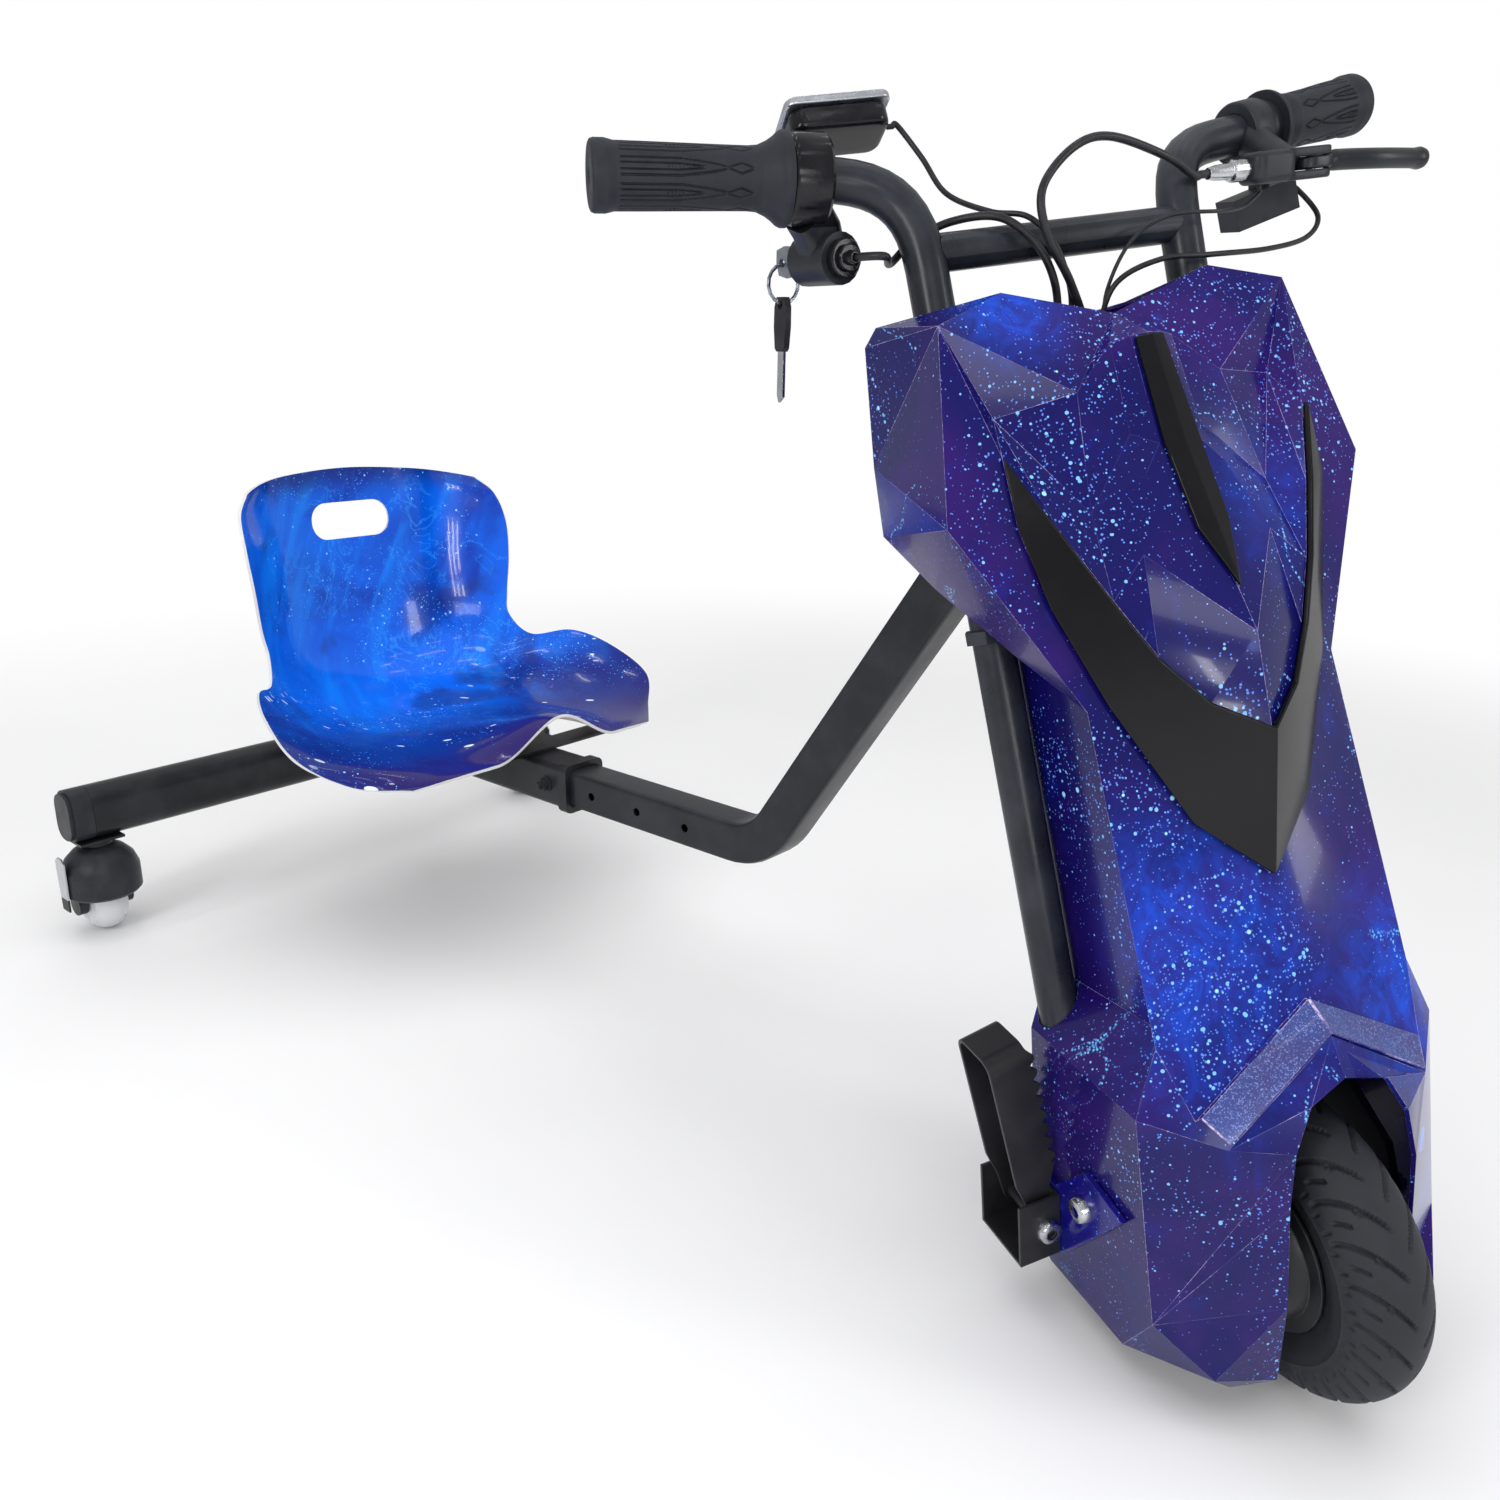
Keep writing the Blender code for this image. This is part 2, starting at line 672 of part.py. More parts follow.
FAIRING_FACES = (
    "brow peak shoulder notch",
    "brow notch base_a step_side step",
    "step step_side crest_side crest",
    "crest crest_side crest_low spear",
    "step_side base_a base_b crest_side",
    "crest_side base_b base_c",
    "crest_side base_c crest_low",
    "base_a notch base_b",
    "notch shoulder crease_a",
    "notch crease_a crease_b",
    "notch crease_b base_b",
    "base_b crease_b base_c",
    "base_c crease_b crease_c",
    "base_c crease_c crest_low",
    "crest_low crease_c spear",
    "spear crease_c beak",
    "shoulder horn crease_a",
    "crease_a horn in_a",
    "crease_a in_a crease_b",
    "crease_b in_a in_b",
    "crease_b in_b crease_c",
    "crease_c in_b in_c",
    "crease_c in_c beak",
    "beak in_c in_d",
    "beak in_d in_tip",
    "horn out_a in_a",
    "out_a out_b in_b in_a",
    "out_b out_c in_c in_b",
    "out_c out_d in_d in_c",
    "out_d out_tip in_tip in_d",
    "shoulder cheek horn",
    "horn cheek out_a",
    "out_a cheek out_b",
    "out_b cheek waist",
    "out_b waist out_c",
    "out_c waist knee",
    "out_c knee out_d",
    "out_d knee lip",
    "out_d lip out_tip",
    "shoulder ear back_a",
    "shoulder back_a back_b",
    "shoulder back_b cheek",
    "cheek back_b back_c",
    "cheek back_c hem_a",
    "cheek hem_a hem_b",
    "cheek hem_b waist",
    "peak ear shoulder",
    "peak rim ear",
    "rim wall_a ear",
    "ear wall_a back_a",
    "rim wall_top wall_a",
    "back_a wall_a wall_b",
    "back_a wall_b back_b",
    "back_b wall_b back_c",
    "wall_a wall_top wall_low wall_b",
    "back_c wall_b under_a",
    "back_c under_a under_b hem_a",
    "hem_a under_b under_c hem_b",
    "hem_b under_c under_d waist",
    "wall_b wall_low under_0 under_a",
    "under_a under_0 shin_top_0 shin_top",
    "under_d under_c under_b under_a shin_top shin_low knee_in",
    "waist under_d knee_in knee",
    "shin_top shin_top_0 shin_low_0 shin_low",
    "knee flare shelf",
    "shelf flare brow_low",
    "lip knee shelf",
    "lip shelf brow_low lip_low",
    "knee knee_in flare",
    "flare knee_in heel_top",
    "knee_in shin_low heel_top",
    "heel_top shin_low tail",
    "shin_low shin_low_0 tail_0 tail",
    "lip_low brow_low arch_b arch_a arch_0",
    "brow_low flare toe",
    "brow_low toe arch_c arch_b",
    "toe arch_d arch_c",
    "toe toe_b arch_e arch_d",
    "toe_b toe_c arch_e",
    "toe sole_a toe_c toe_b",
    "flare heel_top heel sole_b sole_a toe",
    "heel_top tail tail_low heel",
    "heel tail_low sole_b",
    "tail tail_0 tail_low_0 tail_low",
)
CAP_FACES = (
    "peak brow crown rim",
    "rim crown wall_top",
    "arch_0 arch_a arch_b arch_c arch_d arch_e sill",
    "arch_e toe_c sole_a sole_b tail_low tail_low_0 sill",
)


def half_sheet(points, faces):
    """Both halves of a symmetric sheet, from named corners and lists of their names."""
    bm = bmesh.new()
    left = {}
    right = {}
    for face in faces:
        for name in face.split():
            if name in left:
                continue
            v = points[name]
            left[name] = bm.verts.new(v)
            right[name] = left[name] if abs(v.x) < 1e-6 else bm.verts.new(mirror_x(v))
    for face in faces:
        names = face.split()
        bm.faces.new([left[n] for n in names])
        bm.faces.new([right[n] for n in reversed(names)])
    return bm


def fairing_sheet():
    points = fairing_points()
    points["crown"] = Vector((0.0, -0.350, 0.636))
    points["sill"] = Vector((0.0, -0.560, 0.045))
    bm = half_sheet(points, FAIRING_FACES + CAP_FACES)
    caps = len(CAP_FACES) * 2
    bmesh.ops.recalc_face_normals(bm, faces=bm.faces)
    bm.faces.ensure_lookup_table()
    bmesh.ops.delete(bm, geom=bm.faces[-caps:], context="FACES")
    return bm


def fairing_shell(name, forward):
    """One side of the seam that runs just behind the fork tubes."""
    bm = fairing_sheet()
    mesh = bpy.data.meshes.new(name)
    bm.to_mesh(mesh)
    bm.free()
    obj = bpy.data.objects.new(name, mesh)
    bpy.context.scene.collection.objects.link(obj)
    mesh.materials.append(galaxy(name + "_print"))
    wall = obj.modifiers.new("wall", "SOLIDIFY")
    wall.thickness = SHELL_T
    wall.offset = -1.0
    wall.use_even_offset = True
    frame = steering_plane(0.4)
    seam = (frame.inverted() @ tube_point(0.4)).y - 0.0145
    half = 0.4
    shift = (SEAT_GAP / 2 - half) * (1 if forward else -1)
    cut(obj, block(frame @ Vector((0, seam + shift, 0)), (0.5, 2 * half, 1.2), frame.to_3x3().to_4x4()))
    for z in (UPPER_BRIDGE_Z, LOWER_BRIDGE_Z):
        cut(obj, bridge_window(z))
    for side in (1, -1):
        low = side_of(tube_point(TUBE_FOOT_Z - 0.02), side)
        high = side_of(tube_point(0.70), side)
        cut(obj, rod(low, high, TUBE_R + SHELL_CLEARANCE))
    return obj


def bridge_window(z):
    """Slot in the shells that a bridge plate passes through."""
    frame = steering_plane(z)
    ahead = (frame.inverted() @ tube_point(z)).y
    outline = [(-0.033, -0.030), (0.033, -0.030), (0.033, ahead - 0.036), (0.103, ahead - 0.018),
               (0.115, ahead), (0.109, ahead + 0.020), (-0.109, ahead + 0.020), (-0.115, ahead),
               (-0.103, ahead - 0.018), (-0.033, ahead - 0.036)]
    return plate(outline, BRIDGE_T + 4 * SHELL_CLEARANCE, frame)


def skin(name, points, faces, lift, thickness, mat):
    """A plate that follows a faceted surface, standing off it by lift."""
    bm = half_sheet(points, faces)
    bmesh.ops.recalc_face_normals(bm, faces=bm.faces)
    bm.normal_update()
    total = sum((f.normal.y for f in bm.faces))
    if total > 0:
        bmesh.ops.reverse_faces(bm, faces=bm.faces)
        bm.normal_update()
    offsets = {}
    for v in bm.verts:
        n = v.normal.copy()
        grow = 1.0 / max(0.6, min(n.dot(f.normal) for f in v.link_faces))
        offsets[v] = n * grow
    for v, n in offsets.items():
        v.co += n * lift
    base = list(bm.faces)
    copy = bmesh.ops.duplicate(bm, geom=list(bm.verts) + list(bm.edges) + base)
    twin = copy["vert_map"]
    for v, n in offsets.items():
        twin[v].co += n * thickness
    rims = [e for e in bm.edges if len(e.link_faces) == 1 and e.verts[0] in offsets]
    for e in rims:
        a, b = e.verts
        bm.faces.new((a, b, twin[b], twin[a]))
    return make(name, bm, mat, 30)


def v_trim():
    faces = [f for f in FAIRING_FACES if f.startswith(("horn out_a", "out_a out_b", "out_b out_c",
                                                       "out_c out_d", "out_d out_tip"))]
    return skin("v_trim", fairing_points(), faces, SKIN_GAP, TRIM_T, gloss_black("v_trim_gloss"))


def centre_trim():
    p = fairing_points()
    p["top"] = p["step"].lerp(p["crest"], 0.03)
    p["top_side"] = p["step_side"].lerp(p["crest_side"], 0.03).lerp(p["top"], 0.12)
    p["wide"] = p["crest_side"].lerp(p["crest"], 0.12)
    p["low_side"] = p["crest_low"].lerp(p["crest"].lerp(p["spear"], 0.6), 0.14)
    p["tip"] = p["crest"].lerp(p["spear"], 0.97)
    faces = ("top top_side wide crest", "crest wide low_side tip")
    return skin("centre_trim", p, faces, SKIN_GAP, 0.0028, gloss_black("centre_trim_gloss"))


def chevron():
    p = fairing_points()
    p["a"] = p["lip"].lerp(p["lip_low"], 0.05)
    p["b"] = p["lip"].lerp(p["lip_low"], 0.95)
    p["c"] = p["shelf"].lerp(p["brow_low"], 0.05).lerp(p["a"], 0.03)
    p["d"] = p["shelf"].lerp(p["brow_low"], 0.95).lerp(p["b"], 0.03)
    glitter = material("chevron_glitter", (0.16, 0.14, 0.50), 0.35)
    return skin("chevron", p, ("a c d b",), SKIN_GAP, 0.002, glitter)


BATTERY_SIZE = (0.124, 0.062, 0.150)
BATTERY_PAD = (0.050, 0.110)


def battery_pack():
    p = fairing_points()
    along = (p["shin_top_0"] - p["shin_low_0"]).normalized()
    forward = Vector((0, -along.z, along.y))
    width, depth, height = BATTERY_SIZE
    middle = (p["shin_top_0"] + p["shin_low_0"]) / 2 + along * -0.012
    centre = middle + forward * (SHELL_T + PACK_GAP + depth / 2)
    turn = Matrix((Vector((1, 0, 0)), forward, along)).transposed().to_4x4()
    wrap = material("battery_wrap", (0.02, 0.05, 0.14), 0.45)
    obj = bevel(make("battery_pack", block(centre, (width, depth, height), turn), wrap), 0.004)
    pad = middle + forward * (SHELL_T + SEAT_GAP + PACK_GAP / 2)
    add(obj, block(pad, (BATTERY_PAD[0], PACK_GAP, BATTERY_PAD[1]), turn))
    return obj


def controller():
    p = fairing_points()
    wall = p["wall_low"]
    centre = (0, wall.y - SHELL_T - SEAT_GAP - 0.016, 0.549)
    case = material("controller_case", (0.4, 0.41, 0.43), 0.4, 0.9)
    return bevel(make("controller", block(centre, (0.105, 0.032, 0.050)), case), 0.002)


# Handlebar controls.
def bar_frame(side, reach):
    """Frame on the grip's axis, reach metres along it from its inner start, x outward."""
    start_at = side_of(GRIP_START, side)
    out = (side_of(GRIP_END, side) - start_at).normalized()
    up = (Vector((0, 0, 1)) - out * out.z).normalized()
    fore = up.cross(out) * (-1 if side > 0 else 1)
    rot = Matrix((out, fore, up)).transposed().to_4x4()
    return Matrix.Translation(start_at + out * reach) @ rot


def bar_length():
    return (GRIP_END - GRIP_START).length


def grip_profile(length, bore, flare):
    """Rubber grip from its inner flange out to the closed end."""
    return [(0.0, bore), (0.0, flare), (0.004, flare), (0.007, flare - 0.003), (0.016, 0.0178),
            (0.022, 0.0172), (length - 0.014, 0.0185), (length - 0.009, 0.0196), (length - 0.002, 0.0196),
            (length, 0.0180), (length, 0.0), (length - 0.0035, 0.0), (length - 0.0035, bore)]


def throttle_sleeve():
    frame = bar_frame(-1, 0.021)
    origin = frame.to_translation()
    axis = frame.to_3x3().col[0]
    length = bar_length() - 0.021 + 0.004
    profile = grip_profile(length, TUBE_R + TURN_GAP, 0.0262)
    return make("throttle_sleeve", lathe(profile, origin, axis, closed=True), rubber("throttle_rubber"))


def fixed_grip():
    frame = bar_frame(1, 0.047)
    origin = frame.to_translation()
    axis = frame.to_3x3().col[0]
    length = bar_length() - 0.047 + 0.004
    profile = grip_profile(length, TUBE_R + SEAT_GAP, 0.0225)
    return make("fixed_grip", lathe(profile, origin, axis, closed=True), rubber("grip_rubber"))


LOCK = Vector((-0.1335, -0.3170, 0.6870))
LOCK_AXIS = Vector((-0.23, 0.973, 0.0)).normalized()


def throttle_housing():
    frame = bar_frame(-1, -0.003)
    axis = frame.to_3x3().col[0]
    origin = frame.to_translation()
    ring = [(0.0, TUBE_R + SEAT_GAP), (0.0, 0.0235), (0.002, 0.0255), (0.0205, 0.0258),
            (0.0235, 0.0240), (0.0235, TUBE_R + SEAT_GAP)]
    obj = make("throttle_housing", lathe(ring, origin, axis, closed=True), black_plastic("throttle_case"))
    mid = origin + axis * 0.012
    low = LOCK + LOCK_AXIS * 0.017
    path = [mid + Vector((0, 0, -0.0185)), mid.lerp(low, 0.62), low]
    leg = sweep(path, rounded(0.026, 0.022, 0.006), Vector((0, 1, 0)))
    add(obj, leg)
    cut(obj, sweep(handle_path(-1)[3:], circle(TUBE_R + SEAT_GAP), Vector((0, 1, 0))))
    add(obj, rod(LOCK, LOCK + LOCK_AXIS * 0.034, 0.0150))
    add(obj, rod(LOCK - LOCK_AXIS * 0.004, LOCK + LOCK_AXIS * 0.002, 0.0105))
    cut(obj, rod(LOCK + LOCK_AXIS * 0.024, LOCK + LOCK_AXIS * 0.040, 0.0100))
    cut(obj, rod(LOCK - LOCK_AXIS * 0.010, LOCK + LOCK_AXIS * 0.006, 0.0038))
    return obj


def ignition_key():
    """Lock barrel with the key in it."""
    face = LOCK + LOCK_AXIS * 0.0243
    across = LOCK_AXIS.cross(Vector((0, 0, 1))).normalized()
    place = Matrix((LOCK_AXIS, Vector((0, 0, 1)), across)).transposed().to_4x4()
    barrel = [(0.0, 0.0), (0.0, 0.0095), (0.0105, 0.0095), (0.0115, 0.0085), (0.0115, 0.0)]
    obj = make("ignition_key", lathe(barrel, face, LOCK_AXIS), bright_steel("lock_steel"))
    bow = [(0.000, -0.0035), (0.012, -0.0035), (0.0145, -0.0085), (0.022, -0.0095), (0.0300, -0.0075),
           (0.0315, 0.0), (0.0300, 0.0075), (0.022, 0.0095), (0.0145, 0.0085), (0.012, 0.0035), (0.0, 0.0035)]
    add(obj, plate(bow, 0.0034, Matrix.Translation(face + LOCK_AXIS * 0.0080) @ place))
    cut(obj, rod(KEY_HOLE - across * 0.01, KEY_HOLE + across * 0.01, KEY_HOLE_R))
    return obj


KEY_HOLE = LOCK + LOCK_AXIS * (0.0243 + 0.0080 + 0.0255)
KEY_HOLE_R = 0.0028
RING_R = 0.0115
RING_WIRE = 0.0009
RING_DROP = KEY_HOLE_R - RING_WIRE - SEAT_GAP - 0.0004


def hanging_up():
    """Straight up for a piece that hangs on the turned handlebar, square to the lock's axis."""
    up = Matrix.Rotation(-STEER, 3, AXIS) @ Vector((0, 0, 1))
    return (up - LOCK_AXIS * up.dot(LOCK_AXIS)).normalized()


def hanging_frame(at):
    """Frame with x along the lock's axis and y straight up."""
    up = hanging_up()
    rot = Matrix((LOCK_AXIS, up, LOCK_AXIS.cross(up))).transposed().to_4x4()
    return Matrix.Translation(at) @ rot


def ring_top():
    return KEY_HOLE - hanging_up() * RING_DROP


def ring_foot():
    return ring_top() - hanging_up() * 2 * RING_R


def torus(centre, axis, radius, wire, around=6):
    profile = []
    for k in range(around):
        t = 2 * pi * k / around
        profile.append((wire * sin(t), radius + wire * cos(t)))
    return lathe(profile, centre, axis, closed=True)


def key_ring():
    centre = ring_top() - hanging_up() * RING_R
    return make("key_ring", torus(centre, LOCK_AXIS, RING_R, RING_WIRE), bright_steel("ring_steel"))


def spare_key():
    """Second key, hanging from the ring."""
    hole = ring_foot() - hanging_up() * RING_DROP
    place = hanging_frame(hole + hanging_up() * 0.0050)
    head = [(-0.0040, 0.0), (0.0040, 0.0), (0.0062, -0.006), (0.0064, -0.018), (0.0050, -0.031),
            (0.0032, -0.033), (-0.0032, -0.033), (-0.0050, -0.031), (-0.0064, -0.018), (-0.0062, -0.006)]
    obj = make("spare_key", plate(head, 0.0044, place), black_plastic("key_head"))
    blade = [(-0.0031, -0.030), (0.0031, -0.030), (0.0031, -0.060), (0.0012, -0.0645), (-0.0031, -0.061)]
    add(obj, plate(blade, 0.0020, place))
    low = hanging_frame(hole) @ Vector((0, 0, -0.01))
    high = hanging_frame(hole) @ Vector((0, 0, 0.01))
    cut(obj, rod(low, high, KEY_HOLE_R))
    return obj


DISPLAY_CENTRE = Vector((-0.1110, -0.2720, 0.7600))
DISPLAY_TURN = Matrix.Rotation(radians(-7), 4, "Z") @ Matrix.Rotation(radians(-28.0), 4, "X")
DISPLAY_SIZE = (0.066, 0.040, 0.019)


def display():
    """Display case with the recess of its window."""
    body = block(DISPLAY_CENTRE, DISPLAY_SIZE, DISPLAY_TURN)
    obj = bevel(make("display", body, silver_plastic("display_case")), 0.004, 2)
    face = DISPLAY_CENTRE + DISPLAY_TURN @ Vector((0, 0, DISPLAY_SIZE[2] / 2))
    cut(obj, block(face, (0.052, 0.030, 0.0016), DISPLAY_TURN))
    return obj


LEVER_HOUSING = Vector((0.1675, -0.3465, 0.7110))
LEVER_HOUSING_SIZE = (0.0630, 0.0220, 0.0190)
LEVER_SLOT_LENGTH = 0.030
LEVER_T = 0.0080
LEVER_PIN_R = 0.0022
LEVER_AXIS_AT = LEVER_HOUSING + Vector((0.0200, 0.0, 0.0))
LEVER_TIP = Vector((0.2800, -0.3510, 0.7060))
ADJUSTER_PIN_R = 0.0030
ADJUSTER_PIN = 0.0040
ADJUSTER_LENGTH = 0.0335


def lever_clamp():
    """Clamp ring, neck and the forked housing that holds the lever."""
    frame = bar_frame(1, 0.020)
    axis = frame.to_3x3().col[0]
    origin = frame.to_translation()
    ring = [(0.0, TUBE_R + SEAT_GAP), (0.0, 0.0180), (0.0015, 0.0195), (0.0165, 0.0195),
            (0.018, 0.0180), (0.018, TUBE_R + SEAT_GAP)]
    obj = make("lever_clamp", lathe(ring, origin, axis, closed=True), black_plastic("clamp_case"))
    mid = origin + axis * 0.009
    drop = (LEVER_HOUSING - mid).normalized()
    neck = [mid + drop * 0.0165, mid + drop * 0.040]
    add(obj, sweep(neck, rounded(0.0160, 0.0130, 0.003, 2), Vector((1, 0, 0))))
    add(obj, block(LEVER_HOUSING, LEVER_HOUSING_SIZE))
    outer = LEVER_HOUSING + Vector((LEVER_HOUSING_SIZE[0] / 2, 0, 0))
    cut(obj, block(outer, (2 * LEVER_SLOT_LENGTH, 0.060, LEVER_T + 3 * TURN_GAP)))
    up = Vector((0, 0, LEVER_HOUSING_SIZE[2]))
    cut(obj, rod(LEVER_AXIS_AT - up, LEVER_AXIS_AT + up, LEVER_PIN_R + TURN_GAP))
    inner = LEVER_HOUSING - Vector((LEVER_HOUSING_SIZE[0] / 2, 0, 0))
    reach = Vector((ADJUSTER_PIN + 0.001, 0, 0))
    cut(obj, rod(inner - reach, inner + reach, ADJUSTER_PIN_R + SEAT_GAP))
    return obj


def brake_lever():
    """Lever blade with its pivot pin, ending in a ball."""
    path = bend([LEVER_AXIS_AT + Vector((-0.004, 0.0, 0)), LEVER_AXIS_AT + Vector((0.018, -0.003, 0)),
                 LEVER_AXIS_AT + Vector((0.050, -0.009, -0.002)), LEVER_TIP], 3)
    blade = sweep(path, rounded(0.0110, LEVER_T, 0.0030, 2), Vector((0, 0, 1)))
    obj = make("brake_lever", blade, black_plastic("lever_black"))
    ball = [(0.0068 * sin(radians(a)), 0.0068 * cos(radians(a))) for a in range(-90, 91, 30)]
    add(obj, lathe(ball, LEVER_TIP, (1, 0, 0)))
    half = Vector((0, 0, LEVER_HOUSING_SIZE[2] / 2))
    add(obj, rod(LEVER_AXIS_AT - half, LEVER_AXIS_AT + half, LEVER_PIN_R))
    return obj


def adjuster_start():
    return LEVER_HOUSING - Vector((LEVER_HOUSING_SIZE[0] / 2 - ADJUSTER_PIN, 0, 0))


def barrel_adjuster():
    collar = ADJUSTER_PIN + SEAT_GAP
    profile = [(0.0, 0.0), (0.0, ADJUSTER_PIN_R), (collar, ADJUSTER_PIN_R), (collar, 0.0062),
               (0.008, 0.0068), (0.016, 0.0068), (0.017, 0.0050), (0.028, 0.0046),
               (ADJUSTER_LENGTH, 0.0036), (ADJUSTER_LENGTH, 0.0)]
    bm = lathe(profile, adjuster_start(), (-1, 0, 0))
    return make("barrel_adjuster", bm, bright_steel("adjuster_steel"))


SWITCH_CENTRE = Vector((0.1800, -0.3090, 0.6885))
SWITCH_TURN = Matrix.Rotation(radians(-8), 4, "Z") @ Matrix.Rotation(radians(-14), 4, "Y")
SWITCH_SIZE = (0.046, 0.022, 0.020)
BUTTON_SIZE = (0.0140, 0.0050, 0.0120)


def switch_box():
    obj = make("switch_box", block(SWITCH_CENTRE, SWITCH_SIZE, SWITCH_TURN), black_plastic("switch_case"))
    frame = bar_frame(1, 0.041)
    axis = frame.to_3x3().col[0]
    ring = [(-0.0025, TUBE_R + SEAT_GAP), (-0.0025, 0.0175), (0.0055, 0.0175), (0.0055, TUBE_R + SEAT_GAP)]
    add(obj, lathe(ring, frame.to_translation(), axis, closed=True))
    stem = [frame @ Vector((0.0015, 0.0, -0.0155)), frame @ Vector((0.0015, 0.0, -0.0400))]
    add(obj, sweep(stem, rounded(0.0140, 0.0075, 0.002, 1), axis))
    well = (BUTTON_SIZE[0] + 2 * SEAT_GAP, 2 * BUTTON_SIZE[1], BUTTON_SIZE[2] + 2 * SEAT_GAP)
    cut(obj, block(SWITCH_CENTRE + SWITCH_TURN @ Vector((0.0, SWITCH_SIZE[1] / 2, 0.0)), well, SWITCH_TURN))
    return obj


def switch_button():
    face = SWITCH_CENTRE + SWITCH_TURN @ Vector((0.0, SWITCH_SIZE[1] / 2 - SEAT_GAP, 0.0))
    red = material("button_red", (0.45, 0.01, 0.01), 0.4)
    return bevel(make("switch_button", block(face, BUTTON_SIZE, SWITCH_TURN), red), 0.0012)


# Cables.
CABLE_SAMPLES = 3
CABLE_SIDES = 6


def cable(name, start_at, direction, points, radius):
    """Round sheath that leaves its socket straight for two diameters."""
    step = Vector(direction).normalized() * 2 * radius
    route = [start_at] + bend([start_at + step, start_at + 2 * step] + points, CABLE_SAMPLES)
    bm = sweep(route, circle(radius, CABLE_SIDES), Vector((0.3, 0.5, 1)))
    return make(name, bm, rubber(name + "_sheath"), 60)


def brake_cable():
    end = adjuster_start() - Vector((ADJUSTER_LENGTH + SEAT_GAP, 0, 0))
    points = [(0.074, -0.3490, 0.7230), (0.031, -0.352, 0.7370), (0.000, -0.359, 0.7330),
              (-0.026, -0.366, 0.7130), (-0.026, -0.370, 0.6880), (-0.008, -0.3665, 0.660),
              (0.0080, -0.3605, 0.628), (0.009, -0.360, 0.596)]
    return cable("brake_cable", end, (-1, 0, 0), points, 0.0025)


def switch_cable():
    out = SWITCH_TURN @ Vector((1, 0, 0))
    start_at = SWITCH_CENTRE + out * (SWITCH_SIZE[0] / 2 + SEAT_GAP)
    points = [(0.215, -0.327, 0.678), (0.196, -0.338, 0.666), (0.150, -0.354, 0.663), (0.094, -0.3675, 0.665),
              (0.055, -0.3680, 0.666), (0.026, -0.364, 0.655), (0.0175, -0.3595, 0.628),
              (0.0165, -0.358, 0.598)]
    return cable("switch_cable", start_at, out, points, 0.0017)


def throttle_cable():
    points = [(-0.117, -0.340, 0.686), (-0.106, -0.326, 0.681), (-0.088, -0.3205, 0.691), (-0.066, -0.328, 0.700),
              (-0.044, -0.347, 0.7000), (-0.028, -0.3605, 0.684), (-0.016, -0.3625, 0.660),
              (-0.010, -0.357, 0.628), (-0.0095, -0.357, 0.598)]
    return cable("throttle_cable", LOCK + LOCK_AXIS * 0.0045, -LOCK_AXIS, points, 0.0024)


def display_cable():
    out = DISPLAY_TURN @ Vector((1, 0, 0))
    start_at = DISPLAY_CENTRE + DISPLAY_TURN @ Vector((DISPLAY_SIZE[0] / 2 + SEAT_GAP, 0.0, -0.003))
    points = [(-0.062, -0.290, 0.738), (-0.056, -0.308, 0.716), (-0.042, -0.334, 0.7035),
              (-0.027, -0.3515, 0.6985), (-0.014, -0.3600, 0.682), (-0.0035, -0.3600, 0.655),
              (-0.0015, -0.357, 0.628), (-0.0015, -0.356, 0.604)]
    return cable("display_cable", start_at, out, points, 0.0017)


def brake_wire():
    start_at = LEVER_HOUSING + Vector((-0.0200, 0.0, -LEVER_HOUSING_SIZE[2] / 2 - SEAT_GAP))
    points = [(0.134, -0.349, 0.6900), (0.108, -0.362, 0.6890), (0.066, -0.3620, 0.6900),
              (0.040, -0.3600, 0.6780), (0.026, -0.3560, 0.652), (0.0245, -0.3540, 0.628),
              (0.0240, -0.353, 0.606)]
    return cable("brake_wire", start_at, (0, 0, -1), points, 0.0012)


# Folding foot pegs.
PLATE_T = 0.0040
CHANNEL_T = 0.0025
CHANNEL_H = 0.0480
CHANNEL_Z = 0.0960
STRAP = 0.0026
LOOP_WIDTH = 0.0385
LOOP_LENGTH = 0.1420
TOOTH_PITCH = 0.0115
TOOTH_COUNT = 8
EYE_R = 0.0067


def bolt_head(at, direction):
    """Low round bolt head standing on a face."""
    return rod(at, Vector(at) + Vector(direction) * 0.0055, 0.0080, 0.0070)


def hex_socket(at, direction):
    out = Vector(direction)
    return rod(Vector(at) + out * 0.0028, Vector(at) + out * 0.010, 0.0036, sides=6)


def peg_mount(name, side):
    """Printed plate bolted flat on the skirt, with its bolt."""
    inner = fairing_points()["flare"].x + SEAT_GAP
    place = Matrix.Translation((side * (inner + PLATE_T / 2), 0, 0)) @ SIDE_PLANE
    outline = [(PEG_REAR_Y - 0.001, 0.072), (PEG_REAR_Y - 0.001, 0.120), (-0.496, 0.122), (-0.528, 0.157),
               (-0.566, 0.149), (-0.512, 0.080), (-0.504, 0.072)]
    obj = make(name, plate(outline, PLATE_T, place), galaxy(name + "_print"))
    head = Vector((side * (inner + PLATE_T - 0.0005), -0.527, 0.128))
    add(obj, bolt_head(head, (side, 0, 0)))
    cut(obj, hex_socket(head, (side, 0, 0)))
    return obj


